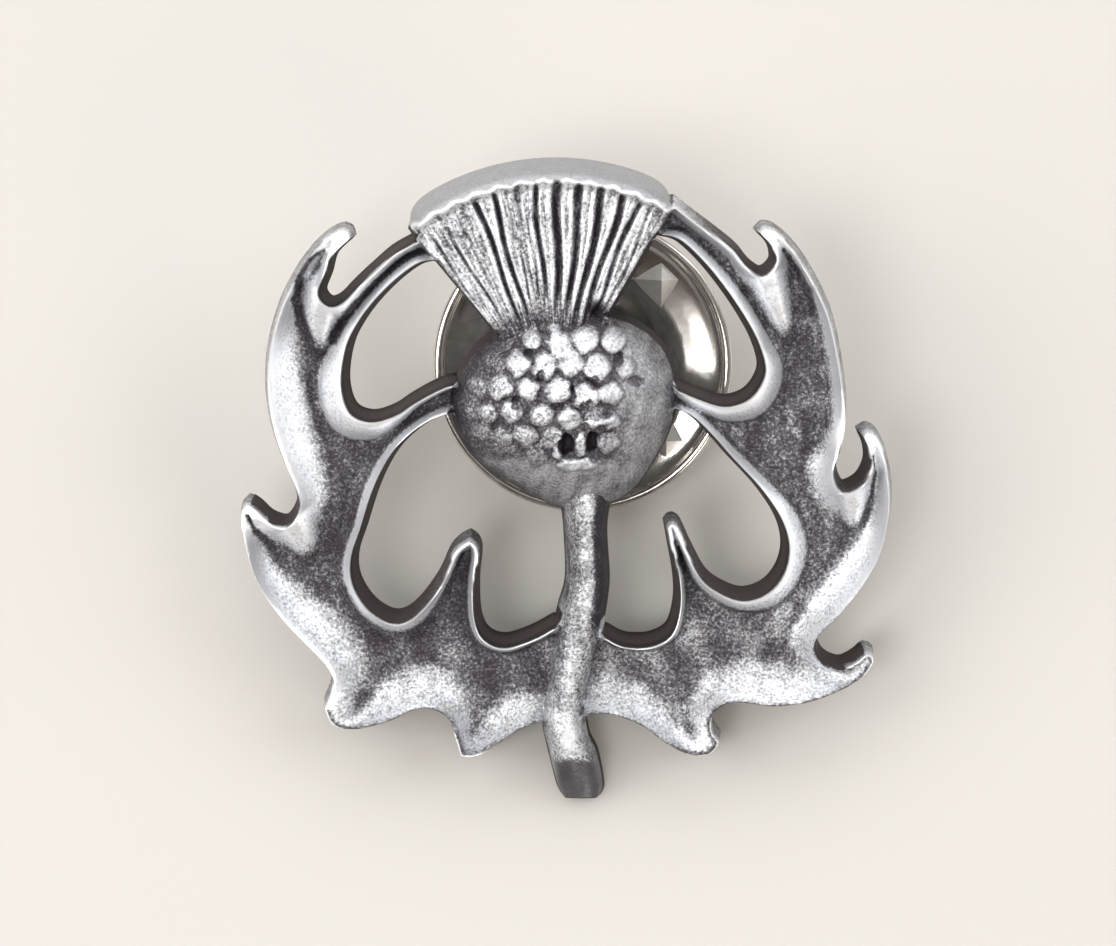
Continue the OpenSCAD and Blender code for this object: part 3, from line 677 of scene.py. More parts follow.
# %% Leaves: raised rims that slope down into a valley
def leaf_form(points, leaf, line, slopes_of, tongues, grooves, floor_wear):
    """Height of a leaf, its wear with painted shade along the low rims' edges, and where it is."""
    starts = line[:, :2]
    ends = np.roll(starts, -1, axis=0)
    slopes = np.minimum(line[:, 2], np.roll(line[:, 2], -1))
    free = slopes > 0.05
    reach, rub, fray = (along_line(leaf, line, slopes_of, k)[free] for k in range(3))
    within = inside(points, [starts])
    here = points[within]
    (share, rubbed, gap), at = weighted_distances(
        here, starts[free], ends[free],
        [slopes[free] * reach, slopes[free] * rub, np.ones(free.sum())])
    fray = fray[at]
    # The slope: a pad where the border is crisp, a trough where it is gradual
    fall = np.clip((share - 0.08) / 0.92, 0, 1) * smooth_step(0.04, 0.2, gap)
    pad, trough = fall ** 1.7, 1 - (1 - fall) ** 1.9
    soft = smooth_step(0.12, 0.45, fray)
    drop = RELIEF * (pad * (1 - soft) + trough * soft)
    floor = 0.10 * np.clip(share - 1, 0, 1.2)
    body = 1 - smooth_step(1 - fray, 1 + fray, rubbed)
    drop, body = with_pads(here, drop, body, tongues)
    tips = tips_of(leaf)
    hooks = tips[np.abs(tips[:, 0]) > SPIKES_WITHIN]
    to_hook = to_nearest(here, hooks)
    drop = drop * smooth_step(0.5, 1.9, to_hook)
    # The grooves: a narrow one is shallow
    rows = np.vstack([np.column_stack([groove[:-1], groove[1:]]) for groove in grooves])
    half_widths = (rows[:, 2] + rows[:, 5]) / 2
    (carved,), at_row = weighted_distances(here, rows[:, :2], rows[:, 3:5], [half_widths])
    carved = 1 - smooth_step(0.5, 1.4, carved)
    deepest = np.minimum(GROOVE_SHARE * RELIEF, 3 * half_widths[at_row])
    drop = np.maximum(drop, deepest * carved)
    height, wear_and_painted_light = np.zeros(len(points)), np.zeros(len(points))
    height[within] = RIM_HEIGHT - drop + floor + 0.02 * ripple(here, 1.3, 3)
    low = smooth_step(-1.0, -7.5, here[:, 1])
    turned_down = low * smooth_step(0.4, 0.55, fray)
    gleam = GLEAM_WEAR * (1 - 0.9 * turned_down) \
        * (1 - smooth_step(EDGE_GLEAM * 0.8, EDGE_GLEAM * 2.0, gap))
    body = np.maximum(body, 1 - smooth_step(0.7, 1.6, to_hook))
    body = np.maximum(body, 1 - smooth_step(0.4, 0.8, to_nearest(here, tips)))
    body = body * (RIM_WEAR - 0.2 * low)
    streaks = 0.09 * (1 - low) * ripple(here * [1.5, 0.35], 1.0, 31)
    bare = np.maximum(body + gleam, floor_wear + 0.07 * low + streaks
                      + (0.04 + 0.12 * low) * ripple(here, 1.7, 4))
    wear_and_painted_light[within] = bare + (np.minimum(bare, floor_wear - 0.05) - bare) * carved
    # The low rims turn down to the floor, so a line of painted shade runs along their edge
    wear_and_painted_light[within] *= 1 - 0.6 * turned_down * smooth_step(0.2, 0.06, gap)
    # The wall is leaf as well, up to the outline and round the tips
    brink = np.zeros(len(points), bool)
    tree = tree_of(starts[free])
    for i in np.flatnonzero(~within):
        brink[i] = tree.find((*points[i], 0))[2] < WALL_LEAN + 0.2
    brink |= ~within & (to_nearest(points, tips) < 1.3)
    height[brink], wear_and_painted_light[brink] = RIM_HEIGHT, 1.0
    return height, wear_and_painted_light, within | brink


# %% Tuft: a fan of petals between dark flutes
# Each flute: angle, depth share, half width share, distance where it starts and ends
FLUTES = [(-34.6, 0.35, 0.5, 4.6, 8.2), (-29.6, 0.5, 0.6, 4.0, 8.3), (-20.4, 1.0, 0.9, 3.6, 8.75),
          (-16.0, 1.0, 0.9, 3.8, 8.85), (-10.2, 0.9, 1.0, 7.9, 8.95), (-12.4, 0.35, 0.5, 4.0, 6.3),
          (-5.0, 0.9, 0.9, 4.2, 8.95), (0.6, 1.2, 1.35, 4.0, 9.0), (6.3, 1.0, 1.2, 3.8, 8.95),
          (11.8, 1.1, 1.2, 3.4, 8.95), (16.7, 1.0, 1.1, 3.2, 8.85), (20.9, 0.8, 0.9, 3.4, 8.8),
          (24.8, 0.4, 0.6, 4.0, 8.6), (-25.2, 0.25, 0.4, 4.2, 6.6), (-7.4, 0.3, 0.5, 4.0, 6.6)]
TUFT_PROFILE = [(2.0, 1.5), (3.2, 1.7), (4.2, 1.9), (5.6, 2.0), (7.2, 2.08), (8.7, 2.14),
                (8.95, 2.3), (9.1, 2.3), (9.35, 2.12), (9.8, 1.75)]
POCKET = (1.08, 6.45, 0.42, 0.52)
SCALLOP = 0.055
PETAL_ANGLE = 5.6
BAND_START = 8.98
TUFT_WEAR = 0.54


def tuft_form(points):
    """Height of the fluted tuft, and its wear with a painted highlight line on its band."""
    from_fan = points - FAN_AT
    reach = np.linalg.norm(from_fan, axis=1)
    angle = np.degrees(np.arctan2(from_fan[:, 0], from_fan[:, 1]))
    beside = np.maximum(FAN_EDGES[0] - angle, angle - FAN_EDGES[1])
    there = (beside < 1.4) & (reach > 2.5)
    radii, heights = zip(*TUFT_PROFILE)
    height = np.interp(reach, radii, heights) * smooth_step(2.2, -0.2, beside)
    groove, lip = np.zeros(len(points)), np.zeros(len(points))
    for at, depth, wide, start, stop in FLUTES:
        bend = 0.6 * np.sin(reach * 1.3 + at)
        across = np.abs(np.radians(angle - at - bend) * reach)
        half = (0.06 + 0.009 * reach) * wide
        ends = smooth_step(start - 0.4, start + 1.2, reach) \
            * (1 - smooth_step(stop - 0.12, stop + 0.06, reach))
        groove = np.maximum(groove, depth * ends * np.clip(1 - across / half, 0, 1) ** 0.7)
        lip = np.maximum(lip, ends * min(depth, 1) * np.exp(-((across - half * 1.5) / 0.09) ** 2))
    height = height + 0.05 * lip - FLUTE_DEPTH * groove
    # The band starts in scallops, one for each petal, with a painted highlight line where it
    # starts
    scalloped = reach + SCALLOP * np.cos(2 * math.pi * angle / PETAL_ANGLE) \
        + 0.04 * ripple(points, 0.5, 27)
    band = smooth_step(BAND_START, BAND_START + 0.22, scalloped)
    highlight = np.exp(-((scalloped - BAND_START) / 0.08) ** 2)
    height = height + 0.06 * highlight
    root = smooth_step(4.8, 3.6, reach)
    wear_and_painted_light = (TUFT_WEAR + 0.3 * lip + 0.02 * band) * (1 - 0.45 * root) + 0.45 * highlight
    wear_and_painted_light = np.clip(wear_and_painted_light, 0, 1) * np.clip(1 - 0.85 * groove, 0.25, 1)
    x, y, half_x, half_y = POCKET
    gap = np.hypot((points[:, 0] - x) / half_x, (points[:, 1] - y) / half_y)
    pocket = 1 - smooth_step(0.2, 1.3, gap)
    height = height - 0.9 * pocket
    wear_and_painted_light = wear_and_painted_light * (1 - 0.9 * pocket)
    return np.where(there, height, 0), wear_and_painted_light, there


# %% The seed head's beads and pits
HEAD_RADII = [4.42, 4.48, 4.0, 3.6, 3.7, 4.1, 4.4, 4.2, 3.85, 4.2, 4.45, 4.25]
# Every bead as it shows in the photograph, in its pixels: across, down, how proud
BEADS = [(506, 341, 0.3), (531.6, 341.7, 0.8), (553.5, 339, 0.9), (561, 347.5, 0.9),
         (585.8, 341.7, 1.0), (613.4, 343.4, 0.9), (638, 349, 0.2),
         (496, 366, 0.35), (517.8, 364.5, 0.85), (544.5, 366.0, 1.0), (571.2, 364.0, 1.0),
         (597.0, 367.5, 0.95), (625.5, 369.5, 0.6), (649, 375, 0.15),
         (478.2, 390.7, 0.5), (498.9, 388.4, 0.85), (529.0, 389.0, 1.0), (558.3, 389.4, 1.0),
         (585.8, 394.4, 1.0), (610.8, 393.0, 0.85), (637, 396, 0.2),
         (469.6, 411, 0.35), (487.7, 414.2, 0.75), (511.8, 411, 0.9), (541.1, 414.3, 1.0),
         (569.5, 415.9, 1.0), (595.3, 415.5, 0.5), (621, 419.4, 0.4), (642, 420, 0.2),
         (482.5, 433.0, 0.6), (503.2, 436.4, 0.7), (526.4, 434.9, 0.75), (552.0, 436.4, 0.6),
         (609.1, 441.5, 0.6), (632, 443, 0.15),
         (490.3, 451.0, 0.35), (509.2, 457.0, 0.35), (536.8, 455.3, 0.5), (620, 463, 0.15)]
# The worn bars round the two pits, and the pits and smaller gaps: across, down, half
# width, half height, and how high or deep
BARS = [(577.5, 464.0, 24, 7.5, 1.1), (580.5, 442.0, 5.5, 14.0, 1.1),
        (603.0, 420.5, 22, 5.2, 1.1), (558.0, 452.0, 5.0, 8.0, 1.1)]
PITS = [(566.0, 443.0, 8.0, 12.0, 1), (592.5, 439.5, 6.5, 10.0, 0.9), (592, 381, 8, 6, 0.35),
        (619, 361, 5, 8, 0.4), (547, 338, 4, 7, 0.4), (528, 357, 4, 5, 0.4), (574, 393, 4, 8, 0.4),
        (557, 404, 8, 5, 0.35), (637, 383, 10, 5, 0.22), (585, 404, 6, 5, 0.35),
        (516, 402, 4, 7, 0.4), (541, 376, 5, 6, 0.35)]
PIT_DEPTH = 0.6
BEAD_SQUARENESS = 2.7
print(f"{len(BEADS)} beads, {len(PITS)} pits and gaps")


# %% Places on the seed head
def on_head(px, py):
    """Flat-frame place, in mm, of a pixel that shows the dome."""
    x = (px - FRAME_WIDTH_PX / 2) / PX_PER_MM
    y = (FRAME_HEIGHT_PX / 2 - py) / PX_PER_MM
    lift = 1.3
    scale = 1 - lift / CAMERA_DISTANCE
    return (LOOKED_AT[0] + x * scale,
            LOOKED_AT[1] + (y * scale + lift * math.sin(CAMERA_LEAN)) / math.cos(CAMERA_LEAN))


def head_radius(angle):
    """The head's radius in each direction, smooth between the table's values."""
    n = len(HEAD_RADII)
    table = np.array(HEAD_RADII)
    a = (angle % (2 * math.pi)) / (2 * math.pi) * n
    i = np.floor(a).astype(int)
    return curve_at(table[(i - 1) % n], table[i % n], table[(i + 1) % n], table[(i + 2) % n],
                    a - i)


def head_share(points):
    """How far out on the seed head points lie: 0 at its middle, 1 at its rim."""
    q = points - HEAD_AT
    return np.linalg.norm(q, axis=1) / head_radius(np.arctan2(q[:, 1], q[:, 0]))


# %% Seed head: a dome with worn beads
def ovals(points, rows):
    """The strongest of the bars or pits at each point."""
    best = np.zeros(len(points))
    for px, py, half_x, half_y, strength in rows:
        x, y = on_head(px, py)
        gap = np.hypot((points[:, 0] - x) / (half_x / PX_PER_MM),
                       (points[:, 1] - y) / (half_y / PX_PER_MM))
        best = np.maximum(best, strength * np.clip(1 - gap ** 3, 0, 1) ** 0.5)
    return best


def head_form(points):
    """Height of the seed head, its wear with painted shade round its rim, and where it is."""
    q = points - HEAD_AT
    share = head_share(points)
    dome = HEAD_HEIGHT * np.sqrt(1 - np.minimum(share, 1) ** 2.2)
    dice = np.random.default_rng(11)
    bumps = np.zeros(len(points))
    worked = points + 0.07 * np.column_stack([ripple(points, 0.8, 21), ripple(points, 0.8, 22)])
    chipped = worked + 0.07 * np.column_stack([ripple(points, 0.4, 23), ripple(points, 0.4, 24)])
    for px, py, proud in BEADS:
        x, y = on_head(px, py)
        size = BEAD_RADIUS * dice.uniform(0.88, 1.04) * (0.9 + 0.1 * proud)
        turn = math.radians(dice.uniform(20, 70))
        across, down = worked[:, 0] - x, worked[:, 1] - y
        along = np.abs(across * math.cos(turn) + down * math.sin(turn)) * dice.uniform(0.9, 1.15)
        aside = np.abs(down * math.cos(turn) - across * math.sin(turn))
        gap = (along ** BEAD_SQUARENESS + aside ** BEAD_SQUARENESS) ** (1 / BEAD_SQUARENESS)
        bead = np.clip(1 - (gap / (size * 0.93)) ** 4, 0, 1) ** 0.6 * (0.35 + 0.65 * proud)
        bumps = np.maximum(bumps, bead * min(1, proud * 1.6))
    bumps = np.maximum(bumps, ovals(chipped, BARS))
    pits = ovals(chipped, PITS)
    height = dome + BEAD_HEIGHT * bumps - PIT_DEPTH * pits + 0.015 * ripple(points, 0.7, 5)
    # The right side and the foot have no beads, only a dull skin
    skin = np.maximum(smooth_step(0.9, 2.6, q[:, 0]), smooth_step(-1.3, -2.2, q[:, 1]))
    left_dark = 1 - 0.3 * smooth_step(-1.2, -3.6, q[:, 0])
    top_bright = 0.4 + 0.14 * smooth_step(-0.5, 1.2, q[:, 1])
    wear_and_painted_light = 0.24 + (top_bright * left_dark + 0.14 * ripple(points, 0.35, 9)) * bumps
    wear_and_painted_light = np.maximum(wear_and_painted_light, 0.5 * skin + 0.08 * ripple(points, 0.9, 8))
    # Painted shade darkens the head round its rim, most on the left
    rim_dark = 0.2 + 0.45 * smooth_step(0.5, -2.5, q[:, 0])
    wear_and_painted_light = wear_and_painted_light * (1 - rim_dark * smooth_step(0.82, 0.99, share))
    wear_and_painted_light = wear_and_painted_light * (1 - np.minimum(1.6 * pits, 0.92))
    return np.where(share < 1, height, 0), wear_and_painted_light, share < 1


# %% Stem: a bent rod with a slanting cut at its end
STEM_ROWS = [(1.0, 0.6, 0.9, 2.1), (-0.6, 0.7, 0.9, 2.1), (-2.2, 0.7, 0.74, 2.1),
             (-4.0, 0.78, 0.76, 2.0), (-5.0, 0.62, 0.84, 2.0), (-6.2, 0.38, 0.88, 1.95),
             (-8.0, 0.05, 0.8, 1.95), (-9.3, -0.18, 0.76, 1.95), (-10.3, -0.02, 0.8, 1.95),
             (-11.0, 0.22, 0.88, 1.9), (-12.3, 0.5, 0.84, 1.05), (-13.0, 0.55, 0.7, 0.65)]
STEM_YS, STEM_MIDDLES, STEM_HALVES, STEM_CRESTS = np.array(STEM_ROWS)[::-1].T
STEM_SIDE = 0.28
STEM_WEAR = 0.44
RUBBED_BEND = -9.9


def across_stem(points):
    """How far across the stem points lie: 0 on its middle line, 1 at its side."""
    middle, half = (np.interp(points[:, 1], STEM_YS, column)
                    for column in (STEM_MIDDLES, STEM_HALVES))
    return (points[:, 0] - middle) / half


def stem_cover(points):
    """1 where the stem covers a leaf, and 0 beside it."""
    return smooth_step(1.0, 0.85, np.abs(across_stem(points))) * (points[:, 1] < -1)


def stem_form(points):
    """Height of the stem, its wear with painted shade on its right side, and where it is."""
    y = points[:, 1]
    across = across_stem(points)
    there = (np.abs(across) < 1.3) & (y < 0.6)
    round_top = STEM_SIDE + (1 - STEM_SIDE) * np.sqrt(np.clip(1 - np.abs(across) ** 2.6, 0, 1))
    cut = smooth_step(-10.7, -11.2, y)
    section = round_top * (1 - cut) + cut * np.minimum(1, 1.15 * round_top)
    height = np.interp(y, STEM_YS, STEM_CRESTS) * np.where(np.abs(across) < 1, section, STEM_SIDE)
    height += 0.02 * ripple(points, 0.8, 12) * (1 - cut)
    # Painted shade darkens the upper stem's right side
    in_shade = smooth_step(-6.5, -4.5, y)
    wear_and_painted_light = STEM_WEAR + 0.2 * np.exp(-((across - 0.15) / 0.4) ** 2) \
        + 0.1 * ripple(points * [1.8, 0.55], 1.0, 14) \
        - 0.7 * in_shade * smooth_step(0.2, 0.75, across) \
        + 0.25 * np.exp(-((y - RUBBED_BEND) / 0.7) ** 2)
    wear_and_painted_light = np.clip(wear_and_painted_light, 0.05, 1) * (1 - 0.42 * cut * smooth_step(1.05, 0.7, np.abs(across)))
    return np.where(there, height, 0), wear_and_painted_light, there


# %% [markdown]
# ## One casting
#
# The forms are joined by taking the highest, and the walls take the edges
# down to the back. The back itself is a flat face with the round seat of
# the post's head sunk into it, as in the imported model.

# %% Raise the face
TUFT, HEAD, STEM = 2, 3, 4
EDGE_ROUND = 0.2
RIM_ROUND = 1.2

to_edge = edges.distance(flat_points)
to_edge[:len(edge_points)] = 0
nearest_edge = edges.nearest(flat_points)
to_tip = to_nearest(flat_points, np.vstack([tips_of(LEFT_LEAF), tips_of(RIGHT_LEAF)]))
forms = [leaf_form(flat_points, *leaf) for leaf in LEAVES]
forms += [tuft_form(flat_points), head_form(flat_points), stem_form(flat_points)]
# A leaf ends where the head or the stem covers it
covered = np.maximum(smooth_step(1.0, 0.93, head_share(flat_points)), stem_cover(flat_points))
for leaf_height, _, _ in forms[:2]:
    leaf_height *= 1 - covered
heights, wears_and_painted_light = (np.array([form[k] for form in forms]) for k in (0, 1))
highest = heights.argmax(0)
columns = np.arange(len(flat_points))
height = heights[highest, columns]
wear_and_painted_light = wears_and_painted_light[highest, columns]
# The walls are steeper at the points of the hooks and spikes
lean = WALL_LEAN * (0.5 + 0.5 * smooth_step(0.4, 2.2, to_tip))
wall = RIM_HEIGHT * to_edge / lean
# The tuft's outer rim is rounded over
fan_reach = np.linalg.norm(flat_points - FAN_AT, axis=1)
on_rim = (highest == TUFT) * smooth_step(8.6, 9.1, fan_reach)
cut_height = np.minimum(soft_lower(height, wall, EDGE_ROUND + RIM_ROUND * on_rim), wall)
cut_height = np.maximum(cut_height, 0)
cut_height[:len(edge_points)] = 0
print(f"casting {cut_height.max():.2f} mm high")

# %% Darken the walls: patina where the cloth doesn't reach, and painted shade
NEAR_LINE = 0.6
lines = np.vstack([left_line, right_line])[:, :2]
shades = np.concatenate([along_line(leaf, line, slopes_of, 3)
                         for leaf, line, slopes_of, *_ in LEAVES])
line_tree = tree_of(lines)
found = [line_tree.find((x, y, 0)) for x, y in edge_points]
edge_shade = np.array([shades[i] if gap < NEAR_LINE else 0 for _, i, gap in found])
in_opening = nearest_edge >= len(outline[0])
right_of_stem = across_stem(flat_points) > 0
dark_wall = edge_shade[nearest_edge]
# The stem's right wall gets deep painted shade, its left wall little
for form, side, darkness in ((TUFT, in_opening, 0.45), (HEAD, in_opening, 0.55),
                             (STEM, right_of_stem, 0.95), (STEM, ~right_of_stem, 0.25)):
    dark_wall[(highest == form) & side] = darkness
up_wall = wall / np.maximum(height, 0.1)
side_share = smooth_step(1.04, 0.88, up_wall) * dark_wall
# A little less in the middle of a wall, where the material turns it brown; its foot and top stay
# near black, a painted shade
side_share *= 1 - 0.15 * smooth_step(0.0, 0.3, up_wall) * smooth_step(0.86, 0.62, up_wall)

# %% Close the back and its seat
SEAT_DEPTH = 0.54
# Points just inside the back's rim keep the walls' colour off the back
BACK_INSET = 0.05
inset = edge_points + inward * BACK_INSET
inset = inset[(edges.distance(inset) > BACK_INSET * 0.93) & inside(inset, outline)]
back_points = np.vstack([edge_points, seat, inset])
back_triangles = triangulated(back_points, outline + [seat])
n_face, n_edge, n_seat, n_inset = (len(p) for p in (flat_points, edge_points, seat, inset))
seat_low = n_face + np.arange(n_seat)
seat_high = seat_low + n_seat
inset_index = n_face + 2 * n_seat + np.arange(n_inset)
back_index = np.concatenate([np.arange(n_edge), seat_low, inset_index])
vertices = np.vstack([
    np.column_stack([flat_points, cut_height]),
    np.column_stack([seat, np.zeros(n_seat)]),
    np.column_stack([seat, np.full(n_seat, SEAT_DEPTH)]),
    np.column_stack([inset, np.zeros(n_inset)]),
    [[*POST_FLAT, SEAT_DEPTH]]])
seat_middle = len(vertices) - 1


def facing(triangles, points, up):
    """Triangles wound so that they all face up, or all down."""
    a, b, c = (points[triangles[:, k]] for k in range(3))
    area = (b[:, 0] - a[:, 0]) * (c[:, 1] - a[:, 1]) - (b[:, 1] - a[:, 1]) * (c[:, 0] - a[:, 0])
    wrong = (area > 0) != up
    triangles = triangles.copy()
    triangles[wrong] = triangles[wrong][:, ::-1]
    return triangles


seat_turn = np.cross(seat[1] - seat[0], seat[2] - seat[1]) > 0
seat_faces = []
for i in range(n_seat):
    j = (i + 1) % n_seat
    for face in ([seat_low[i], seat_high[i], seat_high[j]],
                 [seat_low[i], seat_high[j], seat_low[j]],
                 [seat_high[i], seat_middle, seat_high[j]]):
        seat_faces.append(face if seat_turn else face[::-1])
faces = np.vstack([facing(face_triangles, flat_points, True),
                   back_index[facing(back_triangles, back_points, False)],
                   np.array(seat_faces)])
print(f"back: {n_seat} points round the seat, {n_inset} inside the rim")


# %% Make the casting's mesh
SHARP_ANGLE = math.radians(55)
BACK_WEAR = 0.7
FLUTE_STREAKS = 9


def mesh_piece(name, points, faces):
    """A smooth mesh object from flat-frame points in mm."""
    mesh = bpy.data.meshes.new(name)
    mesh.from_pydata([tuple(p) for p in laid_down(points)], [], [list(map(int, f)) for f in faces])
    mesh.update()
    for polygon in mesh.polygons:
        polygon.use_smooth = True
    mesh.set_sharp_from_angle(angle=SHARP_ANGLE)
    piece = bpy.data.objects.new(name, mesh)
    scene.collection.objects.link(piece)
    return piece


def add_attribute(piece, name, values, rest=0):
    """A number at every vertex, for the material to read, with one for those left over."""
    missing = len(piece.data.vertices) - len(values)
    layer = piece.data.attributes.new(name, "FLOAT", "POINT")
    layer.data.foreach_set("value", np.append(values, [rest] * missing).astype(np.float32))


casting = mesh_piece("pewter_thistle", vertices, faces)
from_fan = vertices[:, :2] - FAN_AT
bare_head = (highest == HEAD) * np.maximum(smooth_step(0.6, 2.4, flat_points[:, 0]),
                                           smooth_step(1.6, 0.7, flat_points[:, 1]))
rim_band = (highest == TUFT) * smooth_step(8.9, 9.1, fan_reach)
cut_face = (highest == STEM) * smooth_step(-10.9, -11.3, flat_points[:, 1])
add_attribute(casting, "wear_and_painted_light", wear_and_painted_light, BACK_WEAR)
add_attribute(casting, "side", side_share)
add_attribute(casting, "fan_turn", FLUTE_STREAKS * np.arctan2(from_fan[:, 0], from_fan[:, 1]))
add_attribute(casting, "fan_reach", np.linalg.norm(from_fan, axis=1))
add_attribute(casting, "petals", (highest == TUFT) * smooth_step(8.95, 8.8, fan_reach))
add_attribute(casting, "calm", np.max([0.85 * rim_band, 0.5 * bare_head, 0.85 * cut_face], 0))
print(f"casting mesh: {len(faces)} triangles")

# %% [markdown]
# ## Antiqued pewter
#
# The caster blackens the whole pin and then rubs it, so the patina stays
# wherever the cloth doesn't reach. The wear that was worked out with the
# relief, with the painted shade and painted highlight it also carries,
# decides between the two metals, and the walls darken with patina and
# painted shade. A noise breaks up the border into the specks and streaks
# that rubbing leaves.


# %% Parts of the metals
def noise(tree, place, scale, detail, roughness):
    """A noise texture read at a place, in metres."""
    return add_node(tree, "ShaderNodeTexNoise", {
        "Vector": place, "Scale": scale, "Detail": detail, "Roughness": roughness}, "Fac")


def ramp(tree, value, stops):
    """A colour ramp; stops are (position, colour)."""
    ramp_colours = add_node(tree, "ShaderNodeValToRGB", {"Fac": value})
    elements = ramp_colours.node.color_ramp.elements
    elements[0].position, elements[0].color = stops[0][0], (*stops[0][1], 1)
    elements[1].position, elements[1].color = stops[-1][0], (*stops[-1][1], 1)
    for position, colour in stops[1:-1]:
        elements.new(position).color = (*colour, 1)
    return ramp_colours


def spread(tree, value, low, high):
    """A value between 0 and 1, spread between low and high."""
    return add_node(tree, "ShaderNodeMapRange", {"Value": value, "To Min": low, "To Max": high})


def bumped(tree, height, strength, distance):
    """The normal of a surface with small bumps, in metres."""
    return add_node(tree, "ShaderNodeBump", {
        "Strength": strength, "Distance": distance, "Height": height})


# %% Pewter material
# Noises: scale, detail and roughness
SPECKLE, BLOTCH, GRAIN = (8500, 4.0, 0.75), (1300, 4.0, 0.65), (7500, 5.0, 0.7)
STREAK = (6.0, 3.0, 0.6)
SIDE_DARKNESS = 1.7
PATINA_TO_METAL = [
    (0.10, (0.030, 0.024, 0.031)), (0.34, (0.10, 0.095, 0.105)), (0.55, (0.33, 0.335, 0.35)),
    (0.80, (0.70, 0.72, 0.76)), (1.0, (0.90, 0.92, 0.95))]
# Walls go brown, and near black where they are darkest: painted shade
WALL_BROWN_AND_SHADE = [(0.86, (0.046, 0.035, 0.030)), (0.96, (0.010, 0.009, 0.009))]

pewter, paint, shader = new_material("antiqued_pewter")
where = add_node(paint, "ShaderNodeTexCoord", {}, "Object")


def attribute(name):
    """One of the casting's vertex attributes, for the pewter to read."""
    return add_node(paint, "ShaderNodeAttribute", {}, "Fac", attribute_name=name)


def around_zero(value, strength):
    """A noise's value moved to lie around 0, times a strength."""
    return math_node(paint, "MULTIPLY_ADD", value, strength, -0.5 * strength)


side = attribute("side")
dirt = math_node(paint, "ADD", around_zero(noise(paint, where, *SPECKLE), 1.7),
                 around_zero(noise(paint, where, *BLOTCH), 0.6))
dirt = math_node(paint, "MULTIPLY", dirt, math_node(paint, "SUBTRACT", 1.0, attribute("calm")))
# Fine streaks run along the tuft's petals
fan_place = add_node(paint, "ShaderNodeCombineXYZ", {
    "X": attribute("fan_turn"), "Y": math_node(paint, "MULTIPLY", attribute("fan_reach"), 0.12)})
streak = math_node(paint, "MULTIPLY", around_zero(noise(paint, fan_place, *STREAK), 1.3),
                   attribute("petals"))
mask = math_node(paint, "ADD", attribute("wear_and_painted_light"), math_node(paint, "ADD", dirt, streak))
# The walls darken the metal: patina and painted shade
mask = math_node(paint, "SUBTRACT", mask, math_node(paint, "MULTIPLY", side, SIDE_DARKNESS),
                 clamp=True)
browned_and_shaded = add_node(paint, "ShaderNodeMixRGB", {
    "Fac": math_node(paint, "MULTIPLY", side, 0.85), "Color1": ramp(paint, mask, PATINA_TO_METAL),
    "Color2": ramp(paint, side, WALL_BROWN_AND_SHADE)})
feed(shader, {
    "Base Color": browned_and_shaded, "Metallic": spread(paint, mask, 0.1, 0.8),
    "Roughness": spread(paint, mask, 0.66, 0.4), "Specular IOR Level": 0.25,
    "Normal": bumped(paint, noise(paint, where, *GRAIN), 0.5, 0.00004)})
casting.data.materials.append(pewter)
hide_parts("thistle_casting")
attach(casting, "brooch")
print("pewter nodes:", len(paint.nodes))

# %% [markdown]
# ## Nickel and steel
#
# Both are bright metal with the fine scratches that stamping and handling
# leave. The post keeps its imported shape, and the clutch is made further down.


# %% Clutch and post materials
TARNISH, SMEARS, SCRATCHES = (900, 5.0, 0.6), (2500, 6.0, 0.7), (5000, 6.0, 0.75)


def bright_metal(name, colour, roughness, scratch):
    """Polished metal with faint scratches and a little dirt."""
    material, tree, shader = new_material(name)
    where = add_node(tree, "ShaderNodeTexCoord", {}, "Object")
    feed(shader, {
        "Base Color": ramp(tree, noise(tree, where, *TARNISH), [
            (0.35, tuple(0.82 * c for c in colour)), (0.65, colour)]),
        "Metallic": 1.0,
        "Roughness": spread(tree, noise(tree, where, *SMEARS),
                            roughness * 0.6, roughness * 1.4),
        "Normal": bumped(tree, noise(tree, where, *SCRATCHES), scratch, 0.00001)})
    return material


nickel = bright_metal("polished_nickel", (0.80, 0.77, 0.73), 0.13, 0.2)
pressed = bright_metal("pressed_nickel", (0.92, 0.90, 0.87), 0.36, 0.3)
steel = bright_metal("drawn_steel", (0.70, 0.70, 0.71), 0.25, 0.3)
post_mesh = frame["nodes"]["tack_post"].data
post_mesh.materials.clear()
post_mesh.materials.append(steel)
print("metals:", nickel.name, pressed.name, steel.name)

# %% [markdown]
# ## The clutch's dish
#
# The dish mirrors the room, so every flat of a coarse circle would show. It
# is spun again close to the CAD source's levels, with smooth curves between
# them and the rolled lip as one round bead.

# %% Spin the dish
HOLE = 0.62
DISH_TOP = [(HOLE, -2.2), (1.6, -2.2), (2.4, -2.2), (3.1, -2.0), (3.8, -1.8), (4.5, -1.71),
            (5.1, -1.60), (5.46, -1.47)]
LIP_MIDDLE = np.array([5.65, -1.4])
LIP_RADIUS = 0.2
DISH_BOTTOM = [(5.60, -1.60), (5.2, -1.83), (4.5, -2.1), (3.5, -2.36), (2.4, -2.5), (1.6, -2.5),
               (HOLE, -2.5)]
SPIN_STEPS = 192


def spun(profile, steps):
    """Points and faces of a ring-shaped solid spun round the post from its section."""
    rings = len(profile)
    points, faces = [], []
    for step in range(steps):
        turn = 2 * math.pi * step / steps
        here, after = step * rings, (step + 1) % steps * rings
        for i, (radius, level) in enumerate(profile):
            points.append((radius * math.cos(turn), radius * math.sin(turn), level))
            j = (i + 1) % rings
            faces.append((here + i, here + j, after + j, after + i))
    return np.array(points), faces


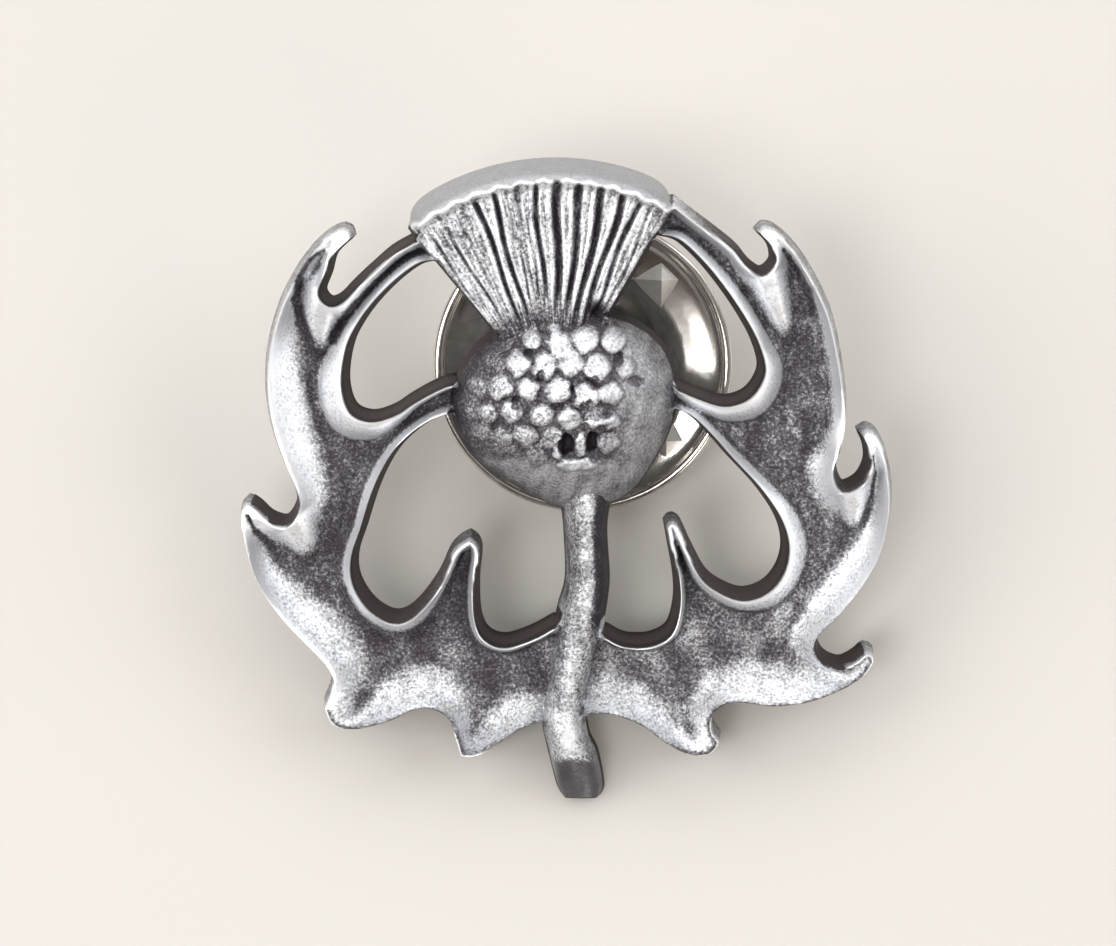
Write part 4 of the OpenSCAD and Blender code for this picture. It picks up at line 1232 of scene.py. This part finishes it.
def clutch_piece(name, points, faces, stands_for):
    """A nickel piece round the post that replaces a CAD node."""
    piece = mesh_piece(name, points + [*POST_FLAT, 0], faces)
    piece.data.materials.append(nickel)
    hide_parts(stands_for)
    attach(piece, "clutch")
    print(f"{name}: {len(faces)} faces")


lip_turns = np.radians(range(190, -110, -12))
lip = list(LIP_MIDDLE + LIP_RADIUS * np.column_stack([np.cos(lip_turns), np.sin(lip_turns)]))
profile = smoothed(DISH_TOP, 5)[:-1] + lip + smoothed(DISH_BOTTOM, 3)
clutch_piece("clutch_dish", *spun(profile, SPIN_STEPS), "clutch_cap")

# %% [markdown]
# ## The clutch's housing and wings
#
# Behind the dish sits a turned housing with a window on each side, and one
# bent spring strip whose ends are the two wings. Both keep the CAD source's
# levels. The housing is spun like the dish, and a Boolean cuts its windows.
# The strip is a flat section drawn along its bends, with rounded corners.


# %% Take one shape out of another
def evaluated(holder):
    """The mesh that an object's modifiers make."""
    bpy.context.view_layer.update()
    return bpy.data.meshes.new_from_object(
        holder.evaluated_get(bpy.context.evaluated_depsgraph_get()))


def cut_out(kept, tool):
    """Points and faces of a shape after a Boolean takes another shape out of it."""
    shapes = []
    for name, (points, faces) in (("kept", kept), ("tool", tool)):
        mesh = bpy.data.meshes.new(name)
        mesh.from_pydata([tuple(p) for p in points], [], faces)
        shapes.append(bpy.data.objects.new(name, mesh))
        scene.collection.objects.link(shapes[-1])
    cut = shapes[0].modifiers.new("cut", "BOOLEAN")
    cut.operation = "DIFFERENCE"
    cut.solver = "EXACT"
    cut.object = shapes[1]
    made = evaluated(shapes[0])
    for shape in shapes:
        bpy.data.objects.remove(shape)
    return (np.array([v.co for v in made.vertices]),
            [list(polygon.vertices) for polygon in made.polygons])


def tube(rings):
    """A closed tube through rings of points, with its two ends filled."""
    size = len(rings[0])
    faces = [list(range(size))[::-1], [(len(rings) - 1) * size + k for k in range(size)]]
    for row in range(0, (len(rings) - 1) * size, size):
        for k in range(size):
            j = (k + 1) % size
            faces.append([row + k, row + j, row + size + j, row + size + k])
    return np.vstack(rings), faces


# %% Spin the housing and cut its windows
HOUSING = [(2.5, -2.6), (2.56, -2.54), (2.74, -2.54), (2.8, -2.6), (2.8, -4.85), (2.76, -5.0),
           (2.5, -5.26), (2.36, -5.3), (HOLE, -5.3), (HOLE, -5.0), (2.3, -5.0), (2.5, -4.8)]
HOUSING_STEPS = 96
WINDOW_HALF_WIDTH = 1.6
WINDOW_LEVELS = (-4.95, -3.35)
window = tube([np.array([(x, y * WINDOW_HALF_WIDTH, level)
                         for x, y in ((-4, -1), (4, -1), (4, 1), (-4, 1))])
               for level in WINDOW_LEVELS])
clutch_piece("clutch_shell", *cut_out(spun(HOUSING, HOUSING_STEPS), window), "clutch_housing")

# %% Bend the spring strip
# Half of the strip's middle line, out from the post: across and level
STRIP_LINE = [(0.0, -3.775), (1.9, -3.775), (2.3, -3.88), (3.175, -4.65), (4.1, -5.34),
              (5.09, -6.09)]
STRIP_HALF_WIDTH = 1.5
STRIP_HALF_THICKNESS = 0.15
STRIP_BEVEL = 0.05
CORNER_RADIUS = 0.3
HOLE_LEVELS = (-4.4, -3.2)
half_line = np.array(smoothed(STRIP_LINE, 8))
line = np.vstack([half_line[:0:-1] * [-1, 1], half_line])
runs = np.gradient(line, axis=0)
runs /= np.linalg.norm(runs, axis=1)[:, None]
sections = []
for (x, level), (run_x, run_z) in zip(line, runs):
    to_end = np.hypot(abs(x) - STRIP_LINE[-1][0], level - STRIP_LINE[-1][1])
    short = max(CORNER_RADIUS - to_end, 0)
    half = STRIP_HALF_WIDTH - CORNER_RADIUS + math.sqrt(CORNER_RADIUS ** 2 - short ** 2)
    thick, bevel = STRIP_HALF_THICKNESS, STRIP_BEVEL
    lower = [(half - bevel, -thick), (half, bevel - thick)]
    right_side = lower + [(aside, -up) for aside, up in reversed(lower)]
    section = right_side + [(-aside, -up) for aside, up in right_side]
    sections.append(np.array([(x - run_z * up, aside, level + run_x * up)
                              for aside, up in section]))
turns = np.linspace(0, 2 * math.pi, 48, endpoint=False)
post_hole = tube([np.column_stack([HOLE * np.cos(turns), HOLE * np.sin(turns),
                                   np.full(len(turns), level)]) for level in HOLE_LEVELS])
clutch_piece("spring_wings", *cut_out(tube(sections), post_hole), "clutch_wings")

# %% [markdown]
# ## The clutch's teeth
#
# Four pressed pyramids keep the clutch from turning in the cloth. Geometry
# Nodes set one pyramid on each point of a ring.

# %% Grow the teeth with Geometry Nodes
TOOTH_BASE_LEVEL = -1.82
TOOTH_HEIGHT = 0.44
TOOTH_TURN = math.radians(47)
TOOTH_TIP_RADIUS = 0.03


def teeth_tree():
    """A node tree that puts a pyramid on every point of a ring."""
    tree = bpy.data.node_groups.new("ring_of_teeth", "GeometryNodeTree")
    for name, kind in (("Teeth", "Int"), ("Ring Radius", "Float"), ("Tooth Radius", "Float"),
                       ("Tooth Height", "Float"), ("Material", "Material")):
        tree.interface.new_socket(name, in_out="INPUT", socket_type="NodeSocket" + kind)
    tree.interface.new_socket("Geometry", in_out="OUTPUT", socket_type="NodeSocketGeometry")
    given = tree.nodes.new("NodeGroupInput").outputs
    ring = add_node(tree, "GeometryNodeMeshCircle", {
        "Vertices": given["Teeth"], "Radius": given["Ring Radius"]})
    turned = add_node(tree, "GeometryNodeTransform", {
        "Geometry": ring, "Rotation": (0, 0, TOOTH_TURN)})
    pyramid = add_node(tree, "GeometryNodeMeshCone", {
        "Vertices": 4, "Radius Top": TOOTH_TIP_RADIUS, "Radius Bottom": given["Tooth Radius"],
        "Depth": given["Tooth Height"]})
    copies = add_node(tree, "GeometryNodeInstanceOnPoints", {
        "Points": turned, "Instance": pyramid})
    real = add_node(tree, "GeometryNodeRealizeInstances", {"Geometry": copies})
    painted = add_node(tree, "GeometryNodeSetMaterial", {
        "Geometry": real, "Material": given["Material"]})
    feed(tree.nodes.new("NodeGroupOutput"), {"Geometry": painted})
    return tree


def grown(name, tree, values):
    """The mesh that a node tree makes with these inputs, still in the flat frame."""
    holder = bpy.data.objects.new(name, bpy.data.meshes.new(name))
    scene.collection.objects.link(holder)
    modifier = holder.modifiers.new(name, "NODES")
    modifier.node_group = tree
    for item in tree.interface.items_tree:
        if item.in_out == "INPUT":
            modifier[item.identifier] = values[item.name]
    made = evaluated(holder)
    bpy.data.objects.remove(holder)
    return made


flat_teeth = grown("clutch_teeth", teeth_tree(), {
    "Teeth": 4, "Ring Radius": 4.5, "Tooth Radius": 1.15, "Tooth Height": TOOTH_HEIGHT,
    "Material": pressed})
tooth_points = np.array([v.co for v in flat_teeth.vertices]) + [*POST_FLAT, TOOTH_BASE_LEVEL]
for vertex, point in zip(flat_teeth.vertices, laid_down(tooth_points)):
    vertex.co = point
flat_teeth.update()
teeth = bpy.data.objects.new("clutch_teeth", flat_teeth)
scene.collection.objects.link(teeth)
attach(teeth, "clutch")
print(f"teeth: {len(flat_teeth.polygons)} faces, top at {tooth_points[:, 2].max():.2f} mm")
